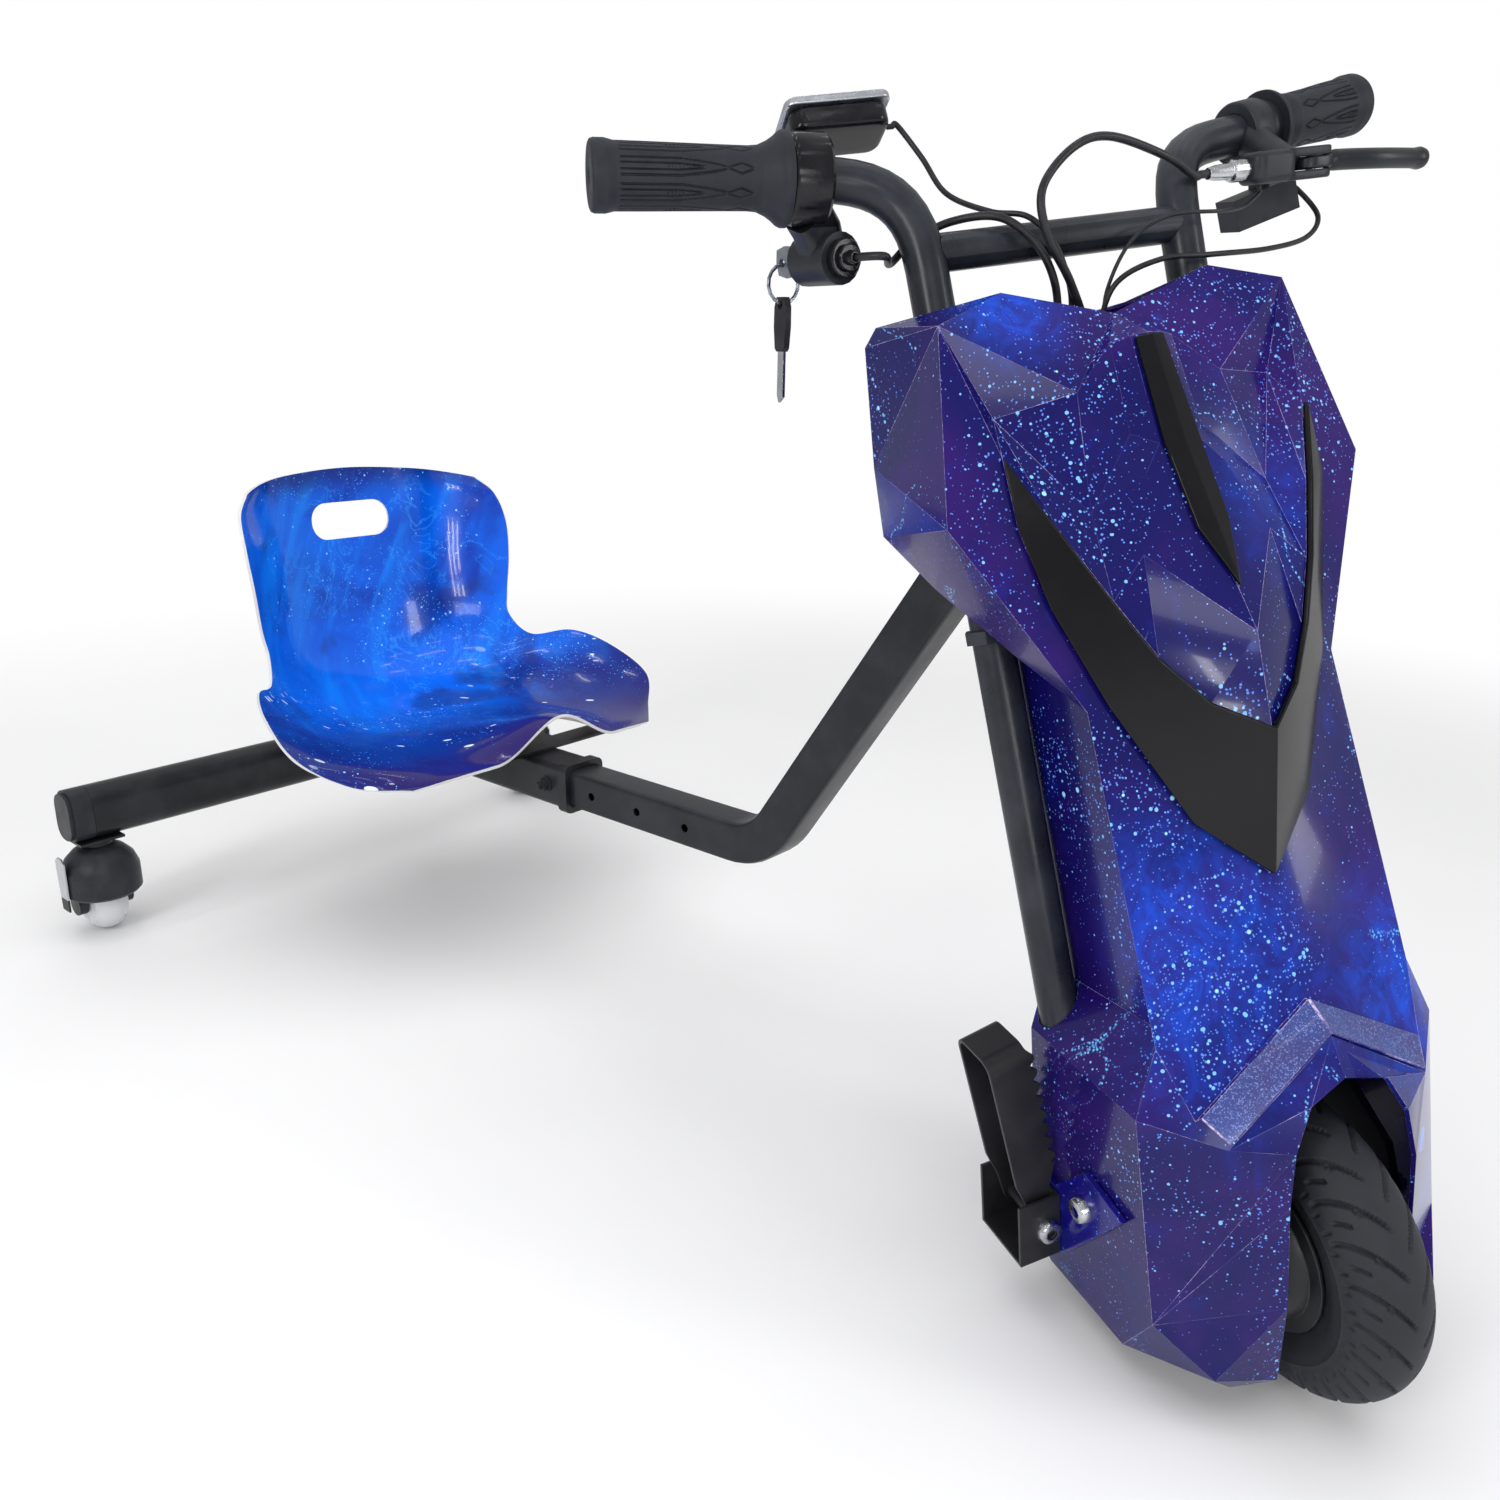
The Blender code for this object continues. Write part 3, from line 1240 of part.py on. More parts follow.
def peg_bracket(name, side):
    """Channel that carries the foot peg, with its pivot bolt."""
    base = fairing_points()["flare"].x + 2 * SEAT_GAP + PLATE_T
    mid_y = (PEG_FRONT_Y + PEG_REAR_Y) / 2
    depth = PEG_REAR_Y - PEG_FRONT_Y
    web = block((side * (base + CHANNEL_T / 2), mid_y, CHANNEL_Z), (CHANNEL_T, depth, CHANNEL_H))
    obj = make(name, web, black_paint(name + "_paint"))
    reach = 0.030
    x_mid = side * (base + reach / 2)
    for y in (PEG_FRONT_Y + CHANNEL_T / 2, PEG_REAR_Y - CHANNEL_T / 2):
        add(obj, block((x_mid, y, CHANNEL_Z), (reach, CHANNEL_T, CHANNEL_H)))
    floor_z = CHANNEL_Z - CHANNEL_H / 2 + CHANNEL_T / 2
    add(obj, block((x_mid, mid_y, floor_z), (reach, depth, CHANNEL_T)))
    front = Vector((side * PEG_X, PEG_FRONT_Y + 0.001, PEG_Z))
    rear = Vector((side * PEG_X, PEG_REAR_Y - 0.001, PEG_Z))
    add(obj, rod(front, rear, PIN_R))
    add(obj, bolt_head(front, (0, -1, 0)), bolt_head(rear, (0, 1, 0)))
    cut(obj, hex_socket(front, (0, -1, 0)))
    return obj


def peg_place(side):
    """Plane of the loop's side outline: u inboard, v up along the folded strap."""
    pin = Vector((side * PEG_X, (PEG_FRONT_Y + PEG_REAR_Y) / 2, PEG_Z))
    turn = Matrix.Translation(pin) @ Matrix.Rotation(side * (pi / 2 - LOOP_RISE), 4, "Y")
    swap = Matrix(((-side, 0, 0, 0), (0, 0, -1, 0), (0, 1, 0, 0), (0, 0, 0, 1)))
    return turn @ swap


def peg_loop(name, side):
    """Strap loop with a toothed inboard edge, folded up beside the skirt."""
    profile = []
    for k in range(7):
        t = pi + pi * k / 6
        profile.append((EYE_R * cos(t), EYE_R * sin(t)))
    profile += [(0.0078, 0.008), (0.0100, 0.020), (0.0112, 0.030), (0.0185, 0.0445)]
    for k in range(TOOTH_COUNT):
        v = 0.046 + TOOTH_PITCH * k
        profile += [(0.0150, v + 0.001), (0.0185, v + 0.004), (0.0185, v + 0.007), (0.0150, v + 0.010)]
    profile += [(0.0150, LOOP_LENGTH), (-0.0120, LOOP_LENGTH), (-0.0120, 0.040), (-0.008, 0.020)]
    place = peg_place(side)
    obj = make(name, plate(profile, LOOP_WIDTH, place), black_paint(name + "_paint"), 30)
    inside = LOOP_WIDTH - 2 * STRAP
    window = [(-0.05, -0.03), (0.06, -0.03), (0.06, LOOP_LENGTH - STRAP), (-0.05, LOOP_LENGTH - STRAP)]
    cut(obj, plate(window, inside, place))
    low = place @ Vector((0, 0, -LOOP_WIDTH))
    high = place @ Vector((0, 0, LOOP_WIDTH))
    cut(obj, rod(low, high, PIN_R + TURN_GAP))
    return obj


# Seat carriage.
def sleeve():
    inner = SQUARE + 2 * TURN_GAP
    outer = inner + 2 * SLEEVE_WALL
    path = [Vector((0, SLEEVE_REAR_Y, RUN_Z)), Vector((0, SLEEVE_FRONT_Y + 0.002, RUN_Z))]
    bm = sweep(path, rounded(outer, outer, 0.006), Vector((0, 0, 1)), rounded(inner, inner, 0.0048))
    obj = make("sleeve", bm, black_paint("sleeve_paint"))
    path = [Vector((0, SLEEVE_FRONT_Y + COLLAR_LENGTH, RUN_Z)), Vector((0, SLEEVE_FRONT_Y, RUN_Z))]
    wide = outer + 2 * COLLAR_EXTRA
    add(obj, sweep(path, rounded(wide, wide, 0.007), Vector((0, 0, 1)), rounded(inner, inner, 0.0048)))
    y = HOLE_FIRST_Y + HOLE_PITCH * BOLT_HOLE
    for side in (1, -1):
        add(obj, length_bolt(side, y))
    return obj


def length_bolt(side, y):
    """Head or nut end of the length bolt, ending just inside the sleeve's wall."""
    start_at = side * (SQUARE / 2 + TURN_GAP + 0.0002)
    first = SLEEVE_WALL + 0.0001
    head = [(0.0, 0.0), (0.0, HOLE_R), (first, HOLE_R), (first, 0.0085), (first + 0.0015, 0.0085),
            (first + 0.0015, 0.0068), (first + 0.0075, 0.0066), (first + 0.0075, 0.0042),
            (first + 0.013, 0.0040), (first + 0.013, 0.0)]
    return lathe(head, (start_at, y, RUN_Z), (side, 0, 0))


def sleeve_outer():
    return SQUARE / 2 + TURN_GAP + SLEEVE_WALL


def beam_outline():
    return rounded(BEAM_DEPTH, BEAM_HEIGHT, 0.0175, 4)


def cross_beam():
    wall = 0.0022
    path = [Vector((-BEAM_HALF_LENGTH, BEAM_Y, BEAM_Z)), Vector((BEAM_HALF_LENGTH, BEAM_Y, BEAM_Z))]
    inner = rounded(BEAM_DEPTH - 2 * wall, BEAM_HEIGHT - 2 * wall, 0.0153, 4)
    obj = make("cross_beam", sweep(path, beam_outline(), Vector((0, 0, 1)), inner), black_paint("beam_paint"))
    low = BEAM_Z + BEAM_HEIGHT / 2 - 0.004
    high = RUN_Z - sleeve_outer() - SEAT_GAP
    add(obj, block((0, BEAM_Y, (low + high) / 2), (0.058, 0.030, high - low)))
    return obj


def end_cap(name, side):
    plug = rounded(BEAM_DEPTH - 0.0052, BEAM_HEIGHT - 0.0052, 0.0146, 4)
    edge = side * (BEAM_HALF_LENGTH + SEAT_GAP)
    outer = side * (BEAM_HALF_LENGTH + CAP_LENGTH)
    face = Vector((edge, BEAM_Y, BEAM_Z))
    shoulder = Vector((outer - side * 0.004, BEAM_Y, BEAM_Z))
    end = Vector((outer, BEAM_Y, BEAM_Z))
    step = Vector((side * 0.001, 0, 0))
    obj = make(name, sweep([face, shoulder], beam_outline()), black_plastic(name + "_plastic"))
    inset = rounded(BEAM_DEPTH - 0.006, BEAM_HEIGHT - 0.006, 0.0145, 4)
    add(obj, sweep([shoulder - step, end], inset))
    add(obj, sweep([face + step, face - 16 * step], plug))
    return obj


# Stations of the seat from its front lip to its top edge. Each has the place and height of the
# middle, the half width, how far the edge lies back and up from the middle, and how deep the
# hollow beside the middle is.
SEAT_STATIONS = {
    "front_lip": (0.203, 0.262, 0.157, 0.031, -0.014, 0.033),
    "thigh_front": (0.232, 0.258, 0.196, 0.041, -0.007, 0.032),
    "thigh": (0.290, 0.243, 0.229, 0.019, 0.022, 0.020),
    "pan": (0.355, 0.231, 0.224, 0.010, 0.048, 0.007),
    "pan_rear": (0.420, 0.228, 0.204, -0.010, 0.061, 0.003),
    "turn_low": (0.478, 0.235, 0.171, -0.032, 0.042, -0.004),
    "turn_high": (0.517, 0.260, 0.157, -0.048, 0.036, -0.008),
    "hip": (0.535, 0.305, 0.159, -0.061, 0.021, -0.004),
    "waist": (0.543, 0.360, 0.163, -0.070, 0.011, -0.001),
    "back": (0.548, 0.420, 0.165, -0.070, -0.004, 0.002),
    "back_high": (0.551, 0.462, 0.160, -0.060, -0.013, 0.003),
    "top_edge": (0.553, 0.481, 0.143, -0.047, -0.014, 0.002),
}
SEAT_STEPS = 6
HAND_SLOT = (0.098, 0.040)
HAND_SLOT_Z = 0.424


def seat_point(station, t):
    """Point of the seat's upper face, t from 0 at the middle to 1 at the edge."""
    y, z, half, back, rise, hollow = station
    near = min(2.0 * t, 1.0)
    dip = near * near * (3.0 - 2.0 * near)
    return Vector((half * t, y + back * t ** 3, z + rise * t ** 3 - hollow * dip))


def seat_sheet():
    """The moulded shell: the upper face through its stations and its twin, closed at the edge."""
    columns = []
    for k in range(SEAT_STEPS + 1):
        columns.append(bend([seat_point(s, k / SEAT_STEPS) for s in SEAT_STATIONS.values()], 2))
    bm = bmesh.new()
    grid = []
    for column in reversed(columns[1:]):
        grid.append([bm.verts.new(mirror_x(v)) for v in column])
    for column in columns:
        grid.append([bm.verts.new(v) for v in column])
    for a, b in zip(grid, grid[1:]):
        for k in range(len(a) - 1):
            bm.faces.new((a[k], b[k], b[k + 1], a[k + 1]))
    bm.normal_update()
    offsets = {v: v.normal.copy() for v in bm.verts}
    down = -1.0 if grid[len(grid) // 2][3].normal.z > 0 else 1.0
    copy = bmesh.ops.duplicate(bm, geom=list(bm.verts) + list(bm.edges) + list(bm.faces))
    twin = copy["vert_map"]
    for v, n in offsets.items():
        twin[v].co += n * down * SEAT_T
    rims = [e for e in bm.edges if len(e.link_faces) == 1 and e.verts[0] in offsets]
    for e in rims:
        a, b = e.verts
        bm.faces.new((a, b, twin[b], twin[a]))
    return bm


def seat_shell():
    obj = make("seat_shell", seat_sheet(), seat_blue("seat_print"), 40)
    y = SEAT_STATIONS["back"][0]
    place = Matrix.Translation((0, y, HAND_SLOT_Z)) @ Matrix.Rotation(pi / 2, 4, "X")
    cut(obj, plate(rounded(*HAND_SLOT, 0.019, 4), 0.10, place))
    return obj


def under_seat(x, y, radius):
    """Height at which an upright boss on either side of the middle stops, just under the shell."""
    bm = seat_sheet()
    tree = BVHTree.FromBMesh(bm)
    bm.free()
    heights = []
    for k in range(MOST_SIDES):
        t = 2 * pi * k / MOST_SIDES
        for side in (1, -1):
            low = Vector((side * x + radius * cos(t), y + radius * sin(t), 0.0))
            heights.append(tree.ray_cast(low, Vector((0, 0, 1)))[0].z)
    return min(heights) - SEAT_GAP


BOSS_X = 0.026
BOSS_Y = (0.300, 0.410)
BOSS_R = 0.009


def seat_plate():
    top = RUN_Z + sleeve_outer()
    z = top + SEAT_GAP + 0.0015
    obj = make("seat_plate", block((0, 0.355, z), (0.075, 0.250, 0.003)), black_paint("seat_plate_paint"))
    for y in BOSS_Y:
        height = under_seat(BOSS_X, y, BOSS_R)
        for x in (-BOSS_X, BOSS_X):
            add(obj, rod((x, y, z), (x, y, height), BOSS_R))
    add(obj, block((0.0, 0.245, z), (0.180, 0.030, 0.003)))
    return obj


# Casters.
def caster_plate(name, side):
    """Mounting plate under the beam, with the swivel pin."""
    x = side * CASTER_X
    under = BEAM_Z - BEAM_HEIGHT / 2 - SEAT_GAP
    obj = make(name, block((x, BEAM_Y, under - 0.0015), (0.046, 0.034, 0.003)), bright_steel(name + "_steel"))
    add(obj, rod((x, BEAM_Y, under - 0.002), (x, BEAM_Y, HOOD_TOP_Z - 0.014), 0.0050))
    add(obj, rod((x, BEAM_Y, under - 0.002), (x, BEAM_Y, HOOD_TOP_Z + TURN_GAP), 0.0150))
    return obj


def caster_axle(side):
    return Vector((side * CASTER_X, BEAM_Y + CASTER_TRAIL, CASTER_WHEEL_R))


def caster_hood(name, side):
    x = side * CASTER_X
    top = HOOD_TOP_Z
    profile = [(HOOD_LOW_Z, 0.0), (HOOD_LOW_Z, HOOD_R - 0.003), (HOOD_LOW_Z + 0.003, HOOD_R),
               (top - 0.026, HOOD_R), (top - 0.014, HOOD_R - 0.0045), (top - 0.005, HOOD_R - 0.013),
               (top, HOOD_R - 0.022), (top, 0.0)]
    obj = make(name, lathe(profile, (x, BEAM_Y, 0), (0, 0, 1)), black_plastic(name + "_plastic"))
    axle = caster_axle(side)
    radius = CASTER_WHEEL_R + 0.0035
    half = CASTER_WHEEL_W / 2 + 0.002
    cut(obj, rod(axle - Vector((half, 0, 0)), axle + Vector((half, 0, 0)), radius))
    cut(obj, block(axle + Vector((0, 0, -0.02)), (2 * half, 2 * radius, 0.04)))
    cut(obj, rod((x, BEAM_Y, top - 0.015), (x, BEAM_Y, top + 0.01), 0.0050 + TURN_GAP))
    for a in (-1, 1):
        cheek = axle + Vector((a * (half + 0.0045), 0, 0))
        add(obj, rod(cheek - Vector((0.0045, 0, 0)), cheek + Vector((0.0045, 0, 0)), 0.0120))
    add(obj, rod(axle - Vector((half + 0.001, 0, 0)), axle + Vector((half + 0.001, 0, 0)), 0.0040))
    return obj


def caster_wheel(name, side):
    half = CASTER_WHEEL_W / 2
    bore = 0.0040 + TURN_GAP
    r = CASTER_WHEEL_R
    outer = [(-half, bore), (-half, 0.62 * r)]
    for k in range(7):
        t = radians(-64 + 128 * k / 6)
        across = half * 0.985 * sin(t) / sin(radians(64))
        outer.append((across, r - 0.30 * r * (1 - cos(t)) / (1 - cos(radians(64)))))
    outer += [(half, 0.62 * r), (half, bore)]
    return make(name, lathe(outer, caster_axle(side), (1, 0, 0), closed=True),
                material(name + "_white", (0.78, 0.78, 0.80), 0.4))


def brake_tab(name, side):
    """Small pressed lever on the hood's outer side."""
    axle = caster_axle(side)
    x = side * (CASTER_X + HOOD_R + SEAT_GAP + 0.001)
    outline = [(-0.008, 0.034), (0.008, 0.034), (0.009, 0.060), (0.010, 0.089), (0.004, 0.094),
               (-0.004, 0.094), (-0.010, 0.089), (-0.009, 0.060)]
    place = Matrix.Translation((x, BEAM_Y, 0)) @ SIDE_PLANE
    obj = make(name, plate(outline, 0.002, place), bright_steel(name + "_steel"))
    return obj


# Assembly.
def pivot(name, at, axis, parent):
    """Empty on a joint's axis, its z along the axis, with its place as drawn."""
    obj = bpy.data.objects.new(name, None)
    bpy.context.scene.collection.objects.link(obj)
    place = Matrix.Translation(Vector(at)) @ Vector(axis).to_track_quat("Z", "Y").to_matrix().to_4x4()
    if parent is None:
        obj.matrix_basis = place
    else:
        attach(obj, place, parent)
    return obj, place


def attach(obj, place, parent):
    obj.parent = parent[0]
    obj.matrix_parent_inverse = parent[1].inverted()
    obj.matrix_basis = place


def hold(parent, *objs):
    for obj in objs:
        attach(obj, Matrix.Identity(4), parent)


def build_steering(root):
    """Everything that turns with the handlebar, and what moves on it."""
    steer = pivot("steer_pivot", AXIS_PASSES, AXIS, root)
    hold(steer, steerer(), crossbar())
    hold(steer, bridge("bridge_top", UPPER_BRIDGE_Z), bridge("bridge_low", LOWER_BRIDGE_Z))
    hold(steer, hub_axle(), fairing_shell("fairing_front", True), fairing_shell("fairing_rear", False))
    hold(steer, v_trim(), centre_trim(), chevron(), battery_pack(), controller())
    hold(steer, throttle_housing(), display(), fixed_grip(), lever_clamp(), barrel_adjuster(), switch_box())
    hold(steer, brake_cable(), switch_cable(), throttle_cable(), display_cable(), brake_wire())
    for word, side in SIDES:
        hold(steer, handle_tube("handle_tube_" + word, side), dropout("dropout_" + word, side))
        hold(steer, peg_mount("peg_mount_" + word, side), peg_bracket("peg_bracket_" + word, side))
        at = (side * PEG_X, (PEG_FRONT_Y + PEG_REAR_Y) / 2, PEG_Z)
        hold(pivot("peg_pivot_" + word, at, (0, side, 0), steer), peg_loop("peg_" + word, side))
    hold(pivot("wheel_pivot", wheel_centre(), (1, 0, 0), steer), hub_motor(), tyre(), tyre_valve())
    bar = bar_frame(-1, 0.0)
    hold(pivot("throttle_pivot", bar.to_translation(), bar.to_3x3().col[0], steer), throttle_sleeve())
    hold(pivot("lever_pivot", LEVER_AXIS_AT, (0, 0, 1), steer), brake_lever())
    hold(pivot("button_pivot", SWITCH_CENTRE, SWITCH_TURN @ Vector((0, -1, 0)), steer), switch_button())
    key = pivot("key_pivot", LOCK, LOCK_AXIS, steer)
    across = LOCK_AXIS.cross(hanging_up())
    ring = pivot("ring_pivot", ring_top(), across, key)
    spare = pivot("spare_pivot", ring_foot(), across, ring)
    hold(key, ignition_key())
    hold(ring, key_ring())
    hold(spare, spare_key())
    centre = Matrix.Translation(AXIS_PASSES)
    steer[0].matrix_basis = centre @ Matrix.Rotation(STEER, 4, AXIS) @ centre.inverted() @ steer[1]


def build_carriage(root):
    """The sliding rear end with the seat and the casters."""
    slide = pivot("slide_pivot", (0, SLEEVE_FRONT_Y, RUN_Z), (0, 1, 0), root)
    hold(slide, sleeve(), cross_beam(), seat_shell(), seat_plate())
    for word, side in SIDES:
        hold(slide, end_cap("end_cap_" + word, side), caster_plate("caster_plate_" + word, side))
        swivel = pivot("swivel_" + word, (side * CASTER_X, BEAM_Y, HOOD_TOP_Z), (0, 0, 1), slide)
        hold(swivel, caster_hood("caster_hood_" + word, side), brake_tab("brake_tab_" + word, side))
        roll = pivot("roll_" + word, caster_axle(side), (1, 0, 0), swivel)
        hold(roll, caster_wheel("caster_wheel_" + word, side))


def build():
    start()
    root = pivot("tricycle", (0, 0, 0), (0, 0, 1), None)
    hold(root, frame_tube(), head_tube())
    hold(root, bearing_cup("bearing_low", HEAD_LOW_Z, -1), bearing_cup("bearing_top", HEAD_TOP_Z, 1))
    build_steering(root)
    build_carriage(root)
    root[0].location.y = -MIDDLE_Y


build()
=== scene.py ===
import bpy
import bmesh
import numpy as np
from math import radians, pi, sin, cos
from mathutils import Vector, Matrix


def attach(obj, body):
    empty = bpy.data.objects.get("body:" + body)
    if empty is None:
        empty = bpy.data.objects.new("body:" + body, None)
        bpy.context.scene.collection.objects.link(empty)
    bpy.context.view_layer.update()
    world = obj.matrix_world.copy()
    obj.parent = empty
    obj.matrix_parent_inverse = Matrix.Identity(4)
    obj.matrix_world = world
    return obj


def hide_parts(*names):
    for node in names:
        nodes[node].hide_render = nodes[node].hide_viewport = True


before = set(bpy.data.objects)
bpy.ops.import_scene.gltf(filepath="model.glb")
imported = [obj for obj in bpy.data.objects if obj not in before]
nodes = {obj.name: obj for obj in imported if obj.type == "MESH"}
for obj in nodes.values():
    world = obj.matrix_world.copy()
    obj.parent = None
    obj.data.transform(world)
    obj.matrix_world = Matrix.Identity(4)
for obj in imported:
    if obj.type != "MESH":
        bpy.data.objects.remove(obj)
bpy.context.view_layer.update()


# Frame tube, head tube and bearing cups.
# Square steel tube 38 mm across, bent cold and drilled for the seat's length bolt, then welded to a
# turned head tube and powder coated satin black. The cups are pressed steel.
def knot(tree, kind, inputs=None, **settings):
    """One node of a finish's tree, each input given set to a value or joined to another node's output."""
    node = tree.nodes.new("ShaderNode" + kind)
    for key, value in settings.items():
        setattr(node, key, value)
    for key, value in (inputs or {}).items():
        if isinstance(value, bpy.types.NodeSocket):
            tree.links.new(value, node.inputs[key])
        elif value is not None:
            node.inputs[key].default_value = value
    return node


def grain(point, scale, detail=2.0, rough=0.5, twist=0.0):
    """Soft noise from 0 to 1 over the surface."""
    values = {"Vector": point, "Scale": scale, "Detail": detail, "Roughness": rough, "Distortion": twist}
    return knot(point.id_data, "TexNoise", values).outputs["Fac"]


def sums(kind, a, b=None):
    """Arithmetic on a node output and a number or another output."""
    return knot(a.id_data, "Math", {0: a, 1: b}, operation=kind).outputs[0]


def steps(source, low, high, first=0.0, last=1.0, smooth=True):
    """A value carried from the range low..high to first..last, clamped."""
    values = {"Value": source, "From Min": low, "From Max": high, "To Min": first, "To Max": last}
    curve = "SMOOTHSTEP" if smooth else "LINEAR"
    return knot(source.id_data, "MapRange", values, interpolation_type=curve).outputs[0]


def tint(factor, *colours):
    """The first of two colours where factor is 0 and the second where it is 1."""
    a, b = ((*colour, 1.0) if isinstance(colour, tuple) else colour for colour in colours)
    return knot(factor.id_data, "Mix", {0: factor, 6: a, 7: b}, data_type="RGBA").outputs[2]


def finish_start(name, colour, rough, metal=0.0, **more):
    """A finish with its plain values, its shader, and the surface point in the object's own metres."""
    finish = bpy.data.materials.new(name)
    finish.use_nodes = True
    shader = finish.node_tree.nodes["Principled BSDF"]
    for key, value in dict(Base_Color=(*colour, 1.0), Roughness=rough, Metallic=metal, **more).items():
        shader.inputs[key.replace("_", " ")].default_value = value
    return finish, shader, knot(finish.node_tree, "TexCoord").outputs["Object"]


def feed(finish, shader, colour, rough=None, height=None, depth=0.0002, strength=1.0):
    """Joins colour, roughness and a bump height to the shader."""
    tree = finish.node_tree
    tree.links.new(colour, shader.inputs["Base Color"])
    if rough is not None:
        tree.links.new(rough, shader.inputs["Roughness"])
    if height is not None:
        bump = knot(tree, "Bump", {"Height": height, "Distance": depth, "Strength": strength})
        tree.links.new(bump.outputs[0], shader.inputs["Normal"])
    return finish


def mottled(name, colours, rough, cloud, fine, span=(0.3, 0.7), metal=0.0, **more):
    """Two colours, and two roughnesses with them, that melt into each other in soft clouds, over a fine
    bump. The values of cloud are the clouds' scale, detail and roughness, those of span the part of their
    range in which the colour changes, and those of fine the bump's scale, detail, depth and strength."""
    finish, shader, point = finish_start(name, colours[0], rough[0], metal, **more)
    clouds = grain(point, *cloud)
    shade = tint(steps(clouds, *span) if span else clouds, *colours)
    bump = grain(point, *fine[:2])
    return feed(finish, shader, shade, steps(clouds, 0.2, 0.8, *rough), bump, *fine[2:])


def powder_coat(name, colour=(0.010, 0.011, 0.014), rough=0.34):
    """Satin powder coat: fine orange peel, slight cloudiness and a little dust."""
    dusty = tuple(c * 1.9 + 0.004 for c in colour)
    return mottled(name, (colour, dusty), (rough - 0.06, rough + 0.10), (22.0, 4.0, 0.6),
                   (900.0, 2.0, 0.00012, 0.35), (0.35, 0.75), Coat_Weight=0.08, Coat_Roughness=0.20,
                   Specular_IOR_Level=0.28)


def placed(name, data):
    """A new object in the scene that shows the given mesh, lamp or camera."""
    thing = bpy.data.objects.new(name, data)
    bpy.context.scene.collection.objects.link(thing)
    return thing


def rolled_edges(piece, width, segments, angle):
    """A round of the given width on every edge turned by more than angle."""
    roll = piece.modifiers.new("rolled_edges", "BEVEL")
    roll.width = width
    roll.segments = segments
    roll.limit_method = "ANGLE"
    roll.angle_limit = radians(angle)
    return roll


JOINED_WITHIN = 0.00002
FLAT_WITHIN = radians(0.6)


def softened(name, width, finish, body, angle=28.0, segments=2, sharp=40.0, edges=None):
    """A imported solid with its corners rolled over: its loose points are joined, its flat faces made whole,
    and every edge turned by more than angle gets a round of the given width, in the edges' own finish if
    one is given."""
    mesh = nodes[name].data.copy()
    mesh.name = name + "_skin"
    bm = bmesh.new()
    bm.from_mesh(mesh)
    bmesh.ops.remove_doubles(bm, verts=bm.verts, dist=JOINED_WITHIN)
    bmesh.ops.dissolve_limit(bm, angle_limit=FLAT_WITHIN, verts=bm.verts, edges=bm.edges)
    for face in bm.faces:
        face.smooth = True
    for edge in bm.edges:
        edge.smooth = len(edge.link_faces) != 2 or edge.calc_face_angle(0.0) < radians(sharp)
    bm.to_mesh(mesh)
    bm.free()
    mesh.materials.clear()
    mesh.materials.append(finish)
    piece = placed(name + "_skin", mesh)
    if width:
        roll = rolled_edges(piece, width, segments, angle)
        if edges:
            mesh.materials.append(edges)
            roll.material = 1
        piece.modifiers.new("even_faces", "WEIGHTED_NORMAL")
    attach(piece, body)
    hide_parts(name)
    return piece


def second_finish(piece, finish, chosen):
    """Another finish on the faces whose middles a rule picks."""
    mesh = piece.data
    middles = np.empty(len(mesh.polygons) * 3)
    mesh.polygons.foreach_get("center", middles)
    mesh.materials.append(finish)
    mesh.polygons.foreach_set("material_index", chosen(middles.reshape(-1, 3)).astype(np.int32))


FRAME_COAT = powder_coat("frame_powder_coat")
for part_name, edge_round in (("frame_tube", 0.0005), ("head_tube", 0.0006)):
    softened(part_name, edge_round, FRAME_COAT, "frame")


def zinc(name, colour=(0.55, 0.56, 0.58), rough=0.30):
    """Bright plated steel with a fine grain and faint blotches."""
    return mottled(name, (colour, tuple(c * 0.78 for c in colour)), (rough - 0.08, rough + 0.1), (160.0, 3.0),
                   (2400.0, 1.0, 0.00004, 0.3), metal=1.0)


CUP_STEEL = zinc("cup_steel")
for part_name in ("bearing_low", "bearing_top"):
    softened(part_name, 0.0005, CUP_STEEL, "frame")


# Fork and handlebar tubes, bridge plates, crossbar, steerer and dropouts.
# Two 25.4 mm steel tubes run in one piece from the wheel to the grips, bent at the top, clamped by two
# laser-cut plates on the steerer and tied by a welded crossbar. All satin black.
RAKE = radians(16.2)
STEER_AXIS = Vector((0.0, sin(RAKE), cos(RAKE)))
STEER_FOOT = np.array((0.0, -0.309, 0.400))
FRONT_TURN = Matrix.Rotation(radians(-30.0), 3, STEER_AXIS)
MIDDLE_Y = 0.0065
TUBE_COAT = powder_coat("tube_powder_coat", (0.013, 0.015, 0.021), 0.30)
for part_name, edge_round in (("handle_tube_left", 0.0), ("handle_tube_right", 0.0), ("crossbar", 0.0),
                              ("bridge_top", 0.0008), ("bridge_low", 0.0008), ("dropout_left", 0.0006),
                              ("dropout_right", 0.0006), ("steerer", 0.0006)):
    softened(part_name, edge_round, TUBE_COAT, "steering", sharp=50.0)


SEAM_WITHIN = 0.000002


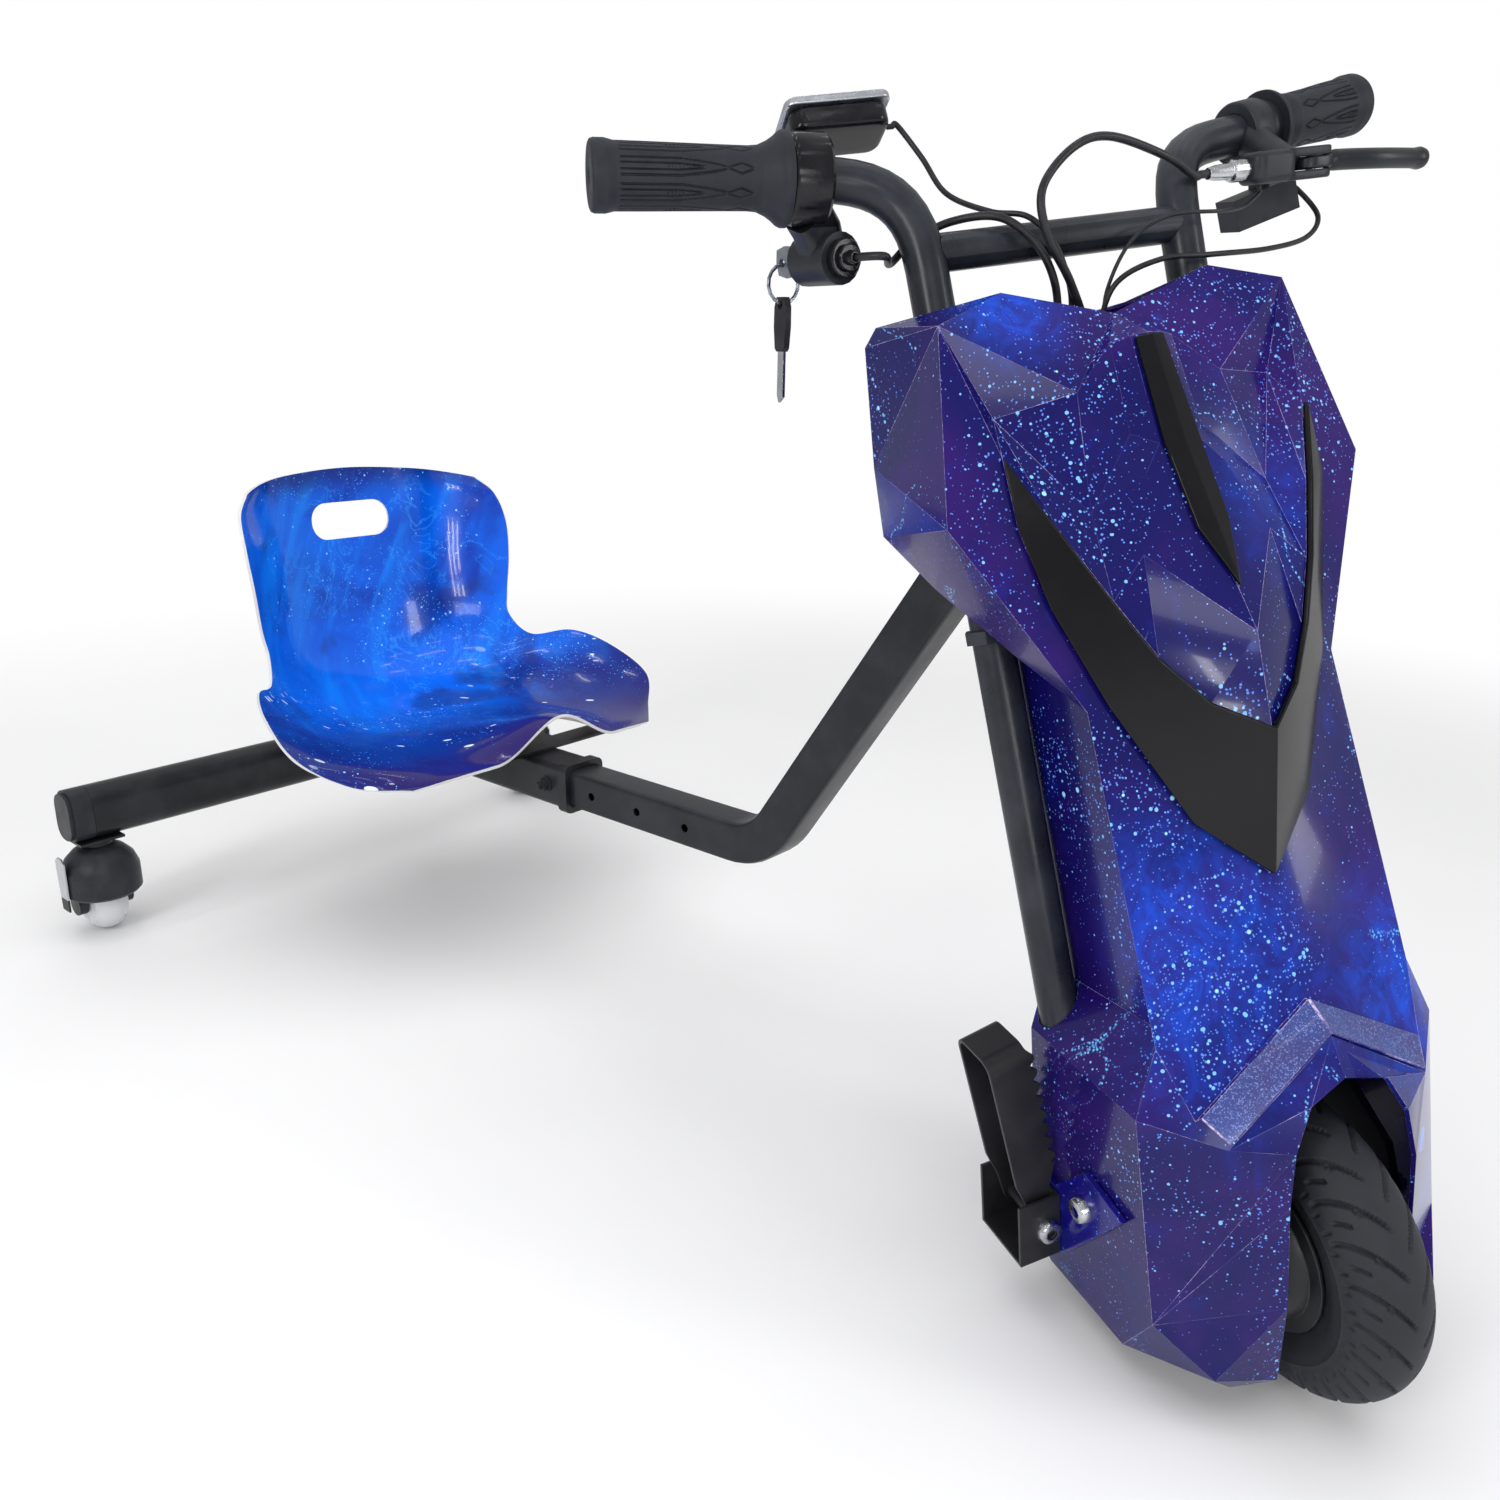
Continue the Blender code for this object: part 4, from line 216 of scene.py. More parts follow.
def surface(name, points, finish, body, node=None, smooth=50.0, gone=None):
    """A skin through a grid of points (rows, columns, 3): neighbours make quads, equal points are merged so
    that seams and poles close, and the faces are turned outwards. The quads marked gone are left open."""
    rows, columns = points.shape[:2]
    index = np.arange(rows * columns).reshape(rows, columns)
    quads = np.stack((index[:-1, :-1], index[:-1, 1:], index[1:, 1:], index[1:, :-1]), axis=-1)
    quads = quads.reshape(-1, 4) if gone is None else quads[~gone]
    used, quads = np.unique(quads, return_inverse=True)
    mesh = bpy.data.meshes.new(name)
    mesh.from_pydata(points.reshape(-1, 3)[used].tolist(), [], quads.reshape(-1, 4).tolist())
    bm = bmesh.new()
    bm.from_mesh(mesh)
    bmesh.ops.remove_doubles(bm, verts=bm.verts, dist=SEAM_WITHIN)
    bmesh.ops.recalc_face_normals(bm, faces=bm.faces)
    bm.to_mesh(mesh)
    bm.free()
    mesh.shade_smooth()
    mesh.set_sharp_from_angle(angle=radians(smooth))
    mesh.materials.append(finish)
    piece = placed(name, mesh)
    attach(piece, body)
    if node:
        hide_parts(node)
    return piece


def turned(points):
    """Points of the front assembly drawn straight ahead, turned with the handlebar about the raked axis and
    set with the whole model about its middle in y."""
    turn = np.array(FRONT_TURN)
    return (np.asarray(points) - STEER_FOOT) @ turn.T + STEER_FOOT - np.array((0.0, MIDDLE_Y, 0.0))


def aimed(x, y, z):
    """A direction of the front assembly drawn straight ahead, turned with the handlebar."""
    return np.array(FRONT_TURN @ Vector((x, y, z)))


def revolved(profile, origin, axis, count):
    """A profile of (distance along the axis, radius) turned about the axis."""
    profile = np.asarray(profile, dtype=float)
    axis = np.asarray(axis, dtype=float) / np.linalg.norm(axis)
    side = np.cross(axis, (0.0, 0.0, 1.0) if abs(axis[2]) < 0.9 else (0.0, 1.0, 0.0))
    side /= np.linalg.norm(side)
    other = np.cross(axis, side)
    t = np.linspace(0.0, 2 * pi, count + 1)
    t[-1] = 0.0
    around = np.cos(t)[:, None] * side + np.sin(t)[:, None] * other
    return np.asarray(origin) + profile[:, None, :1] * axis + profile[:, None, 1:] * around[None]


# Tyre.
# Moulded road tyre, 200 mm across and 54 mm wide, with long curved sipes that lean forward from the crown
# and short cuts on the shoulders. Black rubber, matt, with a fine mould texture.
def tyre_rubber(name):
    """Matt rubber: greyer where it is scuffed, with a fine stipple."""
    return mottled(name, ((0.013, 0.014, 0.020), (0.022, 0.023, 0.030)), (0.55, 0.74), (60.0, 5.0, 0.65),
                   (1500.0, 2.0, 0.00015, 0.4), (0.35, 0.75), Specular_IOR_Level=0.40)


WHEEL_CENTRE = np.array((0.0, -0.579, 0.1059))
TYRE_PITCHES = 22
TYRE_MIDDLE = 0.073
TYRE_SECTION = 0.027
SIPE_DEPTH = 0.0022
SHOULDER_ARC = 0.042
BEAD_HALF = 0.0188
BEAD_RADIUS = 0.0492
BEAD_LEAN = radians(122.0)
SKIN_INSET = 0.0002


def ramp(x, first, run):
    """0 up to a first value, then a straight rise to 1 over a run; a negative run mirrors it."""
    return np.clip((x - first) / run, 0, 1)


def tyre_skin():
    """Section: a circle of radius 27 mm about the middle of the rubber, closed at the beads by a flat foot.
    Around the wheel the section is repeated, pushed in along the sipes. A sipe's middle lies where the angle
    round the wheel, in pitches, equals a power of the distance from the crown; each side is half a pitch out
    of step with the other."""
    count = 52 * TYRE_PITCHES + 1
    around = np.linspace(0.0, 2 * pi, count)
    across = np.linspace(-1.0, 1.0, 80)
    lean = across * BEAD_LEAN
    crown = TYRE_SECTION * lean
    s = (np.abs(crown) / SHOULDER_ARC)[None, :]
    phase = around[:, None] / (2 * pi) * TYRE_PITCHES + np.where(crown > 0, 0.5, 0.0)[None, :]

    def sipe(middle, half, first, last):
        """Depth from 0 to 1 of a cut whose middle line is given, between two distances from the crown."""
        gap = np.abs((phase + middle) % 1.0 - 0.5) / half
        return np.clip(1.6 - gap, 0, 1) * (ramp(s, first, 0.04) * ramp(s, last, -0.06))

    sweep = -1.5 * np.clip(0.86 - s, 0, 1) ** 1.7
    depth = sipe(sweep, 0.055, 0.06, 0.93)
    depth = np.maximum(depth, sipe(sweep + 0.9 * (s - 0.46), 0.060, 0.34, 0.46))
    depth = np.maximum(depth, 0.9 * sipe(0.5 + sweep, 0.045, 0.50, 0.78))
    depth = np.maximum(depth, 0.6 * sipe(0.27, 0.040, 0.82, 1.00))
    depth = np.maximum(depth, 0.6 * sipe(0.75, 0.040, 0.86, 1.00))
    ring = 0.0006 * np.exp(-((s - 1.06) / 0.03) ** 2)
    radius = TYRE_SECTION - SIPE_DEPTH * depth + ring - SKIN_INSET
    x = radius * np.sin(lean)[None, :]
    r = TYRE_MIDDLE + radius * np.cos(lean)[None, :]
    beads = np.full((count, 1), BEAD_HALF)
    foot = np.full((count, 1), BEAD_RADIUS)
    x = np.concatenate((-beads, x, beads, -beads), axis=1)
    r = np.concatenate((foot, r, foot, foot), axis=1)
    t = np.where(np.arange(count) == count - 1, 0.0, around)[:, None]
    grid = np.stack((x, r * np.cos(t), r * np.sin(t)), axis=-1)
    return turned(grid + WHEEL_CENTRE)


surface("tyre_tread", tyre_skin(), tyre_rubber("tyre_rubber"), "front_wheel", "tyre", smooth=35.0)


# Hub motor, axle and valve.
# Cast aluminium motor shell with the rim in one piece, painted black, with bright cover screws; the fixed
# axle is plated steel with flange nuts. The valve is a short rubber stem.
MOTOR_PAINT = powder_coat("motor_paint", (0.014, 0.015, 0.017), 0.36)
softened("hub_motor", 0.0008, MOTOR_PAINT, "front_wheel", angle=35.0)
softened("hub_axle", 0.0004, CUP_STEEL, "steering")
softened("tyre_valve", 0.0, tyre_rubber("valve_rubber"), "front_wheel")


def screw_heads(name, centres, axis, radius, height, body, finish, socket=0.45):
    """Domed cap screws: one profile turned about each centre, with a sunk cone for the key. The quads that
    would join one screw to the next are left out."""
    profile = [(-0.0006, 0.0), (-0.0006, radius), (height * 0.55, radius), (height * 0.9, radius * 0.86),
               (height, radius * 0.62), (height, radius * socket), (height * 0.35, radius * socket * 0.9),
               (height * 0.35, 0.0)]
    grid = np.concatenate([revolved(profile, centre, axis, 24) for centre in centres])
    between = np.arange(1, len(grid)) % len(profile) == 0
    return surface(name, grid, finish, body, smooth=35.0, gone=np.repeat(between[:, None], 24, axis=1))


BOLT_ZINC = zinc("bolt_zinc", (0.62, 0.63, 0.66), 0.22)
SIDES = (("left", 1.0), ("right", -1.0))
SCREW_RING = 0.0362
SCREW_OUT = 0.0355
SCREW_HEAD = (0.0036, 0.0036)
t = np.arange(6) * pi / 3
for word, side in SIDES:
    spots = np.stack((np.full(6, side * SCREW_OUT), SCREW_RING * np.cos(t), SCREW_RING * np.sin(t)), axis=-1)
    screw_heads("motor_screws_" + word, turned(spots + WHEEL_CENTRE), aimed(side, 0.0, 0.0),
                *SCREW_HEAD, "front_wheel", BOLT_ZINC)


# Fairing shells, chevron and trims.
# Blow-moulded plastic covers in facets, water-transfer printed with a generic night-sky splatter and
# lacquered. The trims are separate gloss-black and pearl-lilac mouldings let into the face.
def cells_of(point, scale):
    """Distance to the nearest of many random points, and three random numbers of that point."""
    distance, colour = knot(point.id_data, "TexVoronoi", {"Vector": point, "Scale": scale}).outputs[:2]
    return distance, knot(point.id_data, "SeparateColor", {"Color": colour}).outputs


def splatter(point, shade, scale, share, most, colour, crowd):
    """Round dots over a colour: each cell of a field of random points draws a number, those above the share
    get a dot, and its radius grows with the number up to the given part of a cell. A crowd value from 0 to 1
    thins the dots out or packs them."""
    distance, lots = cells_of(point, scale)
    lot = sums("ADD", lots[0], steps(crowd, 0.35, 0.65, -0.16, 0.12))
    size = steps(lot, share, 1.1, 0.0, most, smooth=False)
    dot = steps(sums("SUBTRACT", size, distance), 0.0, 0.06)
    return tint(dot, shade, colour)


def layered(shade, *layers):
    """Colours laid over a colour one after another, each by its own factor."""
    for factor, colour in layers:
        shade = tint(factor, shade, colour)
    return shade


def contour(point, *shape):
    """How far soft noise is from its middle value: 0 along lines that wander over the surface."""
    return sums("ABSOLUTE", sums("SUBTRACT", grain(point, *shape), 0.5))


def night_sky(name, patches, deep, violet, blue):
    """Indigo and violet clouds, soft azure patches about a few centres, glowing round blots, strings of fine
    dots along wandering contour lines, and three sizes of splattered dots, all under clear lacquer."""
    finish, shader, point = finish_start(name, deep, 0.17, Coat_Weight=0.18, Coat_Roughness=0.05,
                                         Specular_IOR_Level=0.18)
    cloud = grain(point, 5.5, 4.0, 0.6, 0.6)
    haze = grain(point, 14.0, 5.0, 0.65, 1.2)
    shade = layered(deep, (steps(cloud, 0.38, 0.60), violet), (steps(haze, 0.54, 0.80, 0.0, 0.7), blue))
    wisp = steps(grain(point, 30.0, 6.0, 0.7, 2.0), 0.35, 0.75, 0.25, 1.0)
    for centre, radius, strength, glow in patches:
        gap = knot(point.id_data, "VectorMath", {0: point, 1: centre}, operation="DISTANCE").outputs["Value"]
        patch = steps(gap, radius, radius * 0.12, 0.0, strength)
        shade = tint(sums("MULTIPLY", patch, wisp), shade, glow)
    distance, lots = cells_of(point, 17.0)
    size = steps(lots[0], 0.72, 1.0, 0.0, 0.20, smooth=False)
    disc = sums("SUBTRACT", size, distance)
    thread = steps(contour(point, 6.0, 2.0, 0.5, 0.8), 0.0060, 0.0010)
    beads = steps(cells_of(point, 520.0)[0], 0.50, 0.32)
    some = steps(grain(point, 8.0, 1.0), 0.44, 0.54)
    string = sums("MULTIPLY", sums("MULTIPLY", thread, beads), some)
    shade = layered(shade, (steps(disc, -0.10, 0.10, 0.0, 0.45), (0.004, 0.10, 0.80)),
                    (steps(disc, 0.0, 0.05, 0.0, 0.8), (0.006, 0.22, 1.0)), (string, (0.16, 0.50, 1.0)))
    crowd = grain(point, 9.0, 3.0, 0.6)
    for dots in ((600.0, 0.60, 0.50, (0.10, 0.24, 0.80)), (300.0, 0.68, 0.42, (0.20, 0.52, 1.0)),
                 (135.0, 0.88, 0.26, (0.34, 0.72, 1.0))):
        shade = splatter(point, shade, *dots, crowd)
    return feed(finish, shader, shade, None, grain(point, 90.0, 2.0), 0.0004, 0.10)


def spot(x, y, z):
    """A place on the fairing drawn straight ahead, turned with it."""
    return tuple(float(v) for v in turned((x, y, z)))


AZURE = (0.004, 0.10, 0.86)
SHELL_PATCHES = ((spot(-0.07, -0.60, 0.33), 0.13, 0.95, AZURE), (spot(0.06, -0.50, 0.56), 0.07, 0.6, AZURE),
                 (spot(0.09, -0.60, 0.27), 0.10, 0.85, AZURE), (spot(-0.07, -0.40, 0.655), 0.05, 0.8, AZURE),
                 (spot(-0.03, -0.655, 0.25), 0.035, 0.9, (0.02, 0.35, 1.0)),
                 (spot(0.075, -0.59, 0.12), 0.05, 0.6, AZURE), (spot(-0.075, -0.57, 0.10), 0.04, 0.5, AZURE))
SHELL_PRINT = night_sky("shell_print", SHELL_PATCHES, (0.005, 0.004, 0.098), (0.024, 0.006, 0.125),
                        (0.004, 0.018, 0.300))


def crease_print_and_highlight(name):
    """The print drawn thin over a crease, and a painted highlight on it: broken pale lilac glints over
    indigo.
    """
    base = (0.030, 0.026, 0.200)
    finish, shader, point = finish_start(name, base, 0.17, Coat_Weight=0.3, Coat_Roughness=0.05,
                                         Specular_IOR_Level=0.4)
    run = steps(grain(point, 13.0, 3.0, 0.6), 0.40, 0.56)
    spark = steps(grain(point, 420.0, 2.0), 0.40, 0.56)
    lit = sums("MULTIPLY", run, sums("MAXIMUM", spark, 0.40))
    # Painted highlight: the pale lilac where run and spark meet stands for light caught along the crease,
    # over the print.
    shade = tint(lit, base, (0.62, 0.52, 0.80))
    return feed(finish, shader, shade)


CREASE_PRINT_AND_HIGHLIGHT = crease_print_and_highlight("crease_print_and_highlight")
# The rounds on the shells' creases carry the print and its painted highlight.
for part_name in ("fairing_front", "fairing_rear"):
    softened(part_name, 0.0011, SHELL_PRINT, "steering", angle=12.0, sharp=60.0, edges=CREASE_PRINT_AND_HIGHLIGHT)
MOUNT_PRINT = night_sky("mount_print", (), (0.005, 0.004, 0.15), (0.012, 0.006, 0.22), (0.006, 0.05, 0.45))
BOLT_HEAD = (0.0085, 0.0066)
MOUNT_BOLT = np.array((0.1118, -0.527, 0.128))
for word in ("left", "right"):
    softened("peg_mount_" + word, 0.0006, MOUNT_PRINT, "steering")
for word, side in SIDES:
    screw_heads("mount_bolt_" + word, turned([MOUNT_BOLT * (side, 1.0, 1.0)]), aimed(side, 0.0, 0.0),
                *BOLT_HEAD, "steering", BOLT_ZINC)


def piano_black(name):
    """Polished black plastic with the faint waviness of a moulding."""
    finish, shader, point = finish_start(name, (0.003, 0.003, 0.004), 0.15, Coat_Weight=0.10,
                                         Coat_Roughness=0.12, Specular_IOR_Level=0.22)
    wave = grain(point, 18.0, 2.0)
    smear = grain(point, 45.0, 5.0, 0.7)
    shade = tint(smear, (0.002, 0.002, 0.003), (0.006, 0.006, 0.008))
    return feed(finish, shader, shade, steps(smear, 0.3, 0.8, 0.12, 0.20), wave, 0.0006, 0.12)


TRIM_BLACK = piano_black("trim_black")
for part_name in ("v_trim", "centre_trim"):
    softened(part_name, 0.0009, TRIM_BLACK, "steering", angle=12.0, segments=3)


def pearl_lilac(name):
    """Lilac pearl lacquer full of fine bright flakes."""
    base = (0.042, 0.040, 0.190)
    finish, shader, point = finish_start(name, base, 0.32, 0.15, Coat_Weight=0.3, Coat_Roughness=0.08)
    flakes = cells_of(point, 1500.0)[1]
    bright = steps(flakes[1], 0.70, 1.0)
    cloud = grain(point, 26.0, 3.0)
    shade = layered(base, (steps(cloud, 0.3, 0.7), (0.030, 0.055, 0.26)),
                    (sums("MULTIPLY", bright, 0.50), (0.30, 0.42, 0.90)))
    return feed(finish, shader, shade, None, flakes[2], 0.00006, 0.4)


# The chevron's rolled outline carries the same painted highlight.
softened("chevron", 0.0010, pearl_lilac("chevron_pearl"), "steering", angle=35.0, edges=CREASE_PRINT_AND_HIGHLIGHT)


# Battery pack and controller.
# The cells are shrink-wrapped in blue film; the controller is a ribbed aluminium box. Both sit in the
# fairing and only show from below.
def shrink_wrap(name):
    """Tight glossy film over cells, with long soft ribs."""
    base = (0.008, 0.035, 0.16)
    finish, shader, point = finish_start(name, base, 0.35)
    ribs = knot(point.id_data, "TexWave", {"Vector": point, "Scale": 16.0, "Distortion": 1.5}).outputs["Fac"]
    cloud = grain(point, 30.0, 3.0)
    shade = tint(cloud, base, (0.012, 0.06, 0.25))
    return feed(finish, shader, shade, steps(cloud, 0.2, 0.8, 0.28, 0.45), ribs, 0.0008, 0.5)


softened("battery_pack", 0.0, shrink_wrap("battery_wrap"), "steering")
softened("controller", 0.0, zinc("controller_case", (0.42, 0.43, 0.45), 0.4), "steering")


# Grips.
# Soft black rubber sleeves with lengthwise grooves that close in pointed arches toward the rider's thumb.
# The right one turns on the bar as the throttle, the left one is fixed.
BAR_OUT = np.array((0.98456, 0.13715, 0.10880))
BAR_START = np.array((0.140, -0.3092, 0.7305))
BAR_LENGTH = 0.1305155
GRIP_PAST_BAR = 0.004
GROOVE_DEPTH = 0.0011
TOOTH_PITCH = 0.0022


def grip_skin(side, reach, bore, flare):
    """Radius of the rubber as a function of the distance from its flange and the angle round the bar: the
    flange, a throat, a barrel that swells gently and a closing bead, less the grooves. Eight groups of
    grooves go round. In each, the two outer ones come together, cross and open into a pointed diamond
    toward the flange; the two inner ones meet in an arch behind it, over a short row of fine teeth."""
    length = BAR_LENGTH - reach + GRIP_PAST_BAR
    key = np.array(((0.0, flare), (0.0025, flare), (0.0045, flare - 0.0008), (0.0075, flare - 0.0034),
                    (0.0115, flare - 0.0060), (0.017, 0.0178), (0.023, 0.0173), (0.040, 0.0175),
                    (length - 0.030, 0.0182), (length - 0.0135, 0.0184), (length - 0.0115, 0.0189),
                    (length - 0.0085, 0.0196), (length - 0.0025, 0.0196), (length - 0.0007, 0.0189)))
    u = np.linspace(0.0, length - 0.0007, 240)
    body = np.interp(u, key[:, 0], key[:, 1])
    t = np.linspace(0.0, 2 * pi, 361)
    v = np.abs((np.degrees(t) + 8.0) % 45.0 - 22.5)[None, :]
    end = length - 0.0150
    out = u[:, None]

    def line(middle, first, last, half=1.7):
        """Depth from 0 to 1 of a groove along an angle, between two distances."""
        run = ramp(out, first, 0.0012) * ramp(out, last, -0.0012)
        return np.clip(1.5 - np.abs(v - middle) / half, 0, 1) * run

    outer = 15.0 * ramp(out, 0.0370, 0.0270) ** 0.62
    inner = 5.5 * ramp(out, 0.0500, 0.0160) ** 0.60
    side_a = 9.5 * ramp(out, 0.0215, 0.0075)
    side_b = 9.5 * ramp(out, 0.0375, -0.0085)
    groove = line(outer, 0.0370, end)
    groove = np.maximum(groove, line(inner, 0.0500, end, 1.4))
    groove = np.maximum(groove, line(np.minimum(side_a, side_b), 0.0215, 0.0380))
    teeth = np.clip(np.sin(out / TOOTH_PITCH * 2 * pi) * 2, 0, 1) * (v < 2.6)
    teeth = teeth * ramp(out, 0.060, 0.001) * ramp(out, 0.072, -0.001)
    radius = body[:, None] - GROOVE_DEPTH * np.maximum(groove, 0.5 * teeth)
    axis = BAR_OUT * (side, 1.0, 1.0)
    origin = BAR_START * (side, 1.0, 1.0) + axis * reach
    across = np.cross(axis, (0.0, 0.0, 1.0))
    across /= np.linalg.norm(across)
    up = np.cross(across, axis)
    t[-1] = 0.0
    ring = np.cos(t)[:, None] * up + np.sin(t)[:, None] * across
    grid = origin + u[:, None, None] * axis + radius[:, :, None] * ring[None]
    inside = (origin + bore * ring)[None]
    cap = np.array(((0.0001, 0.0178), (0.0, 0.0150), (0.0, 0.0050), (0.0006, 0.0040), (0.0006, 0.0)))
    cap = origin + (length - cap[:, :1, None]) * axis + cap[:, 1:, None] * ring[None]
    return turned(np.concatenate((inside, grid, cap), axis=0))


GRIP_RUBBER = mottled("grip_rubber", ((0.013, 0.015, 0.022), (0.020, 0.022, 0.031)), (0.48, 0.66),
                      (90.0, 4.0, 0.6), (2600.0, 1.0, 0.0001, 0.35), (0.35, 0.7), Specular_IOR_Level=0.32)
surface("throttle_grip", grip_skin(-1.0, 0.021, 0.0131, 0.0262), GRIP_RUBBER, "throttle", "throttle_sleeve")
surface("rider_left_grip", grip_skin(1.0, 0.047, 0.0130, 0.0225), GRIP_RUBBER, "steering", "fixed_grip")


# Throttle housing, lock, key and ring; lever clamp, lever, adjuster, switch; display.
# Glass-filled nylon cases moulded in halves, a die-cast lever, plated steel adjuster and keys, and a small
# display in a silver bezel with a dark glossy window.
def nylon(name, colour=(0.013, 0.014, 0.018), rough=0.42):
    """Moulded nylon: spark-eroded texture and slight unevenness of gloss."""
    return mottled(name, (colour, tuple(c * 1.7 + 0.002 for c in colour)), (rough - 0.08, rough + 0.1),
                   (70.0, 3.0), (1700.0, 2.0, 0.00008, 0.45), Specular_IOR_Level=0.32)


CASE_NYLON = nylon("case_nylon")
GLOSS_CASE = nylon("gloss_case", (0.005, 0.005, 0.007), 0.14)
housing = softened("throttle_housing", 0.0010, CASE_NYLON, "steering", angle=34.0)
BAR_SIDE = aimed(-BAR_OUT[0], BAR_OUT[1], BAR_OUT[2])
BAR_FOOT = turned(BAR_START * (-1.0, 1.0, 1.0))
CLAMP_REACH = 0.0262


def round_the_bar(middles):
    """Faces of the clamp ring: those near the bar's middle line."""
    off = middles - BAR_FOOT
    return np.linalg.norm(off - (off @ BAR_SIDE)[:, None] * BAR_SIDE, axis=1) < CLAMP_REACH


second_finish(housing, GLOSS_CASE, round_the_bar)
LOCK = np.array((-0.1335, -0.3170, 0.6870))
LOCK_WAY = np.array((-0.23, 0.973, 0.0)) / np.hypot(0.23, 0.973)
gland = [(-0.001, 0.0112), (0.0052, 0.0112), (0.0060, 0.0104), (0.0060, 0.0078), (0.0084, 0.0078),
         (0.0090, 0.0070), (0.0090, 0.0044), (0.0130, 0.0036), (0.0136, 0.0030), (0.0136, 0.0025),
         (-0.001, 0.0025)]
surface("cable_gland", turned(revolved(gland, LOCK, -LOCK_WAY, 48)), GLOSS_CASE, "steering", smooth=30.0)
KEY_STEEL = zinc("key_steel", (0.34, 0.36, 0.42), 0.28)
softened("ignition_key", 0.0004, KEY_STEEL, "key")
spare = softened("spare_key", 0.0007, nylon("key_head", (0.012, 0.012, 0.015), 0.40), "spare")
KEY_HEAD = 0.0330
second_finish(spare, BOLT_ZINC, lambda middles: middles[:, 2] < middles[:, 2].max() - KEY_HEAD)
ring_wire = softened("key_ring", 0.0, KEY_STEEL, "ring")
thicker = ring_wire.modifiers.new("thicker", "DISPLACE")
thicker.strength = 0.0004
thicker.mid_level = 0.0


def slab(centre, turn, size, corner, roll, bulge=0.0):
    """A block with rounded corners and rolled edges: rings run from the middle of the top out to the edge,
    round it on a quarter circle, down the side, round again and in to the middle underneath. A ring drawn in
    by d keeps its corner centres and has the corner radius less d. The top may swell by a small bulge."""
    each = 7
    a, b, h = (0.5 * v for v in size)
    quarter = np.linspace(0.0, pi / 2, each + 1)
    t = np.concatenate([quarter + k * pi / 2 for k in range(4)])
    sign = np.repeat(((1.0, 1.0), (-1.0, 1.0), (-1.0, -1.0), (1.0, -1.0)), each + 1, axis=0)
    swing = np.stack((np.cos(t), np.sin(t)), axis=-1)
    inset = np.concatenate(([roll, roll], roll * (1 - np.sin(quarter))))
    scale = np.concatenate(([0.0, 0.6], np.ones(each + 1)))
    under = np.concatenate(([h, h], h - roll * (1 - np.cos(quarter))))
    height = np.concatenate((under + bulge * (1 - scale ** 2), -under[::-1]))
    inset, scale = np.concatenate((inset, inset[::-1])), np.concatenate((scale, scale[::-1]))
    flat = scale[:, None, None] * (sign * (a - corner, b - corner) + (corner - inset)[:, None, None] * swing)
    grid = np.concatenate((flat, np.broadcast_to(height[:, None, None], (*flat.shape[:2], 1))), axis=-1)
    grid = np.concatenate((grid, grid[:, :1]), axis=1)
    return turned(grid @ np.array(turn.to_3x3()).T + np.asarray(centre))


DISPLAY_AT = np.array((-0.1110, -0.2720, 0.7600))
DISPLAY_TURN = Matrix.Rotation(radians(-7.0), 4, "Z") @ Matrix.Rotation(radians(-28.0), 4, "X")
DISPLAY_UP = np.array(DISPLAY_TURN.to_3x3().col[2])
for word, lift, size, edges, finish in (
        ("bezel", 0.0070, (0.0660, 0.0400, 0.0050), (0.0070, 0.0014),
         zinc("display_silver", (0.62, 0.64, 0.70))),
        ("case", -0.0022, (0.0615, 0.0355, 0.0144), (0.0090, 0.0040), GLOSS_CASE),
        ("window", 0.0094, (0.0520, 0.0300, 0.0016), (0.0045, 0.0006, 0.0004), piano_black("window_glass"))):
    block = slab(DISPLAY_AT + lift * DISPLAY_UP, DISPLAY_TURN, size, *edges)
    surface("display_" + word, block, finish, "steering", "display")

softened("switch_box", 0.0008, CASE_NYLON, "steering", angle=50.0)
softened("switch_button", 0.0003, nylon("button_plastic", (0.40, 0.010, 0.010), 0.35), "button")
softened("barrel_adjuster", 0.0004, BOLT_ZINC, "steering")

LEVER_BODY = np.array((0.1675, -0.3465, 0.7110))
LEVER_PIVOT = LEVER_BODY + (0.0200, 0.0, 0.0)
clamp_at = BAR_START + BAR_OUT * 0.020
clamp = [(0.0, 0.0130), (0.0, 0.0183), (0.0006, 0.0192), (0.0020, 0.0197), (0.0160, 0.0197), (0.0174, 0.0192),
         (0.0180, 0.0183), (0.0180, 0.0130), (0.0, 0.0130)]
surface("clamp_ring", turned(revolved(clamp, clamp_at, BAR_OUT, 64)), CASE_NYLON, "steering", "lever_clamp",
        smooth=32.0)
LEVEL = Matrix.Identity(4)
for word, at, size, edges in (
        ("body", (-0.0150, 0.0, 0.0), (0.0335, 0.0224, 0.0192), (0.0080, 0.0045)),
        ("cheek_top", (0.0105, 0.0, 0.0068), (0.0425, 0.0216, 0.0054), (0.0100, 0.0016)),
        ("cheek_low", (0.0105, 0.0, -0.0068), (0.0425, 0.0216, 0.0054), (0.0100, 0.0016))):
    block = slab(LEVER_BODY + at, LEVEL, size, *edges)
    surface("lever_" + word, block, CASE_NYLON, "steering", "lever_clamp")


def curve_through(points, count):
    """A smooth curve through points: a Catmull-Rom cubic between each pair, sampled evenly in each."""
    p = np.asarray(points, dtype=float)
    p = np.concatenate((2 * p[:1] - p[1:2], p, 2 * p[-1:] - p[-2:-1]))
    t = np.linspace(0.0, 1.0, count, endpoint=False)[None, :, None]
    p0, p1, p2, p3 = (p[k:len(p) - 3 + k, None, :] for k in range(4))
    bits = 0.5 * (2 * p1 + (p2 - p0) * t + (2 * p0 - 5 * p1 + 4 * p2 - p3) * t ** 2
                  + (3 * p1 - p0 - 3 * p2 + p3) * t ** 3)
    return np.concatenate((bits.reshape(-1, p.shape[1]), p[-2:-1]))


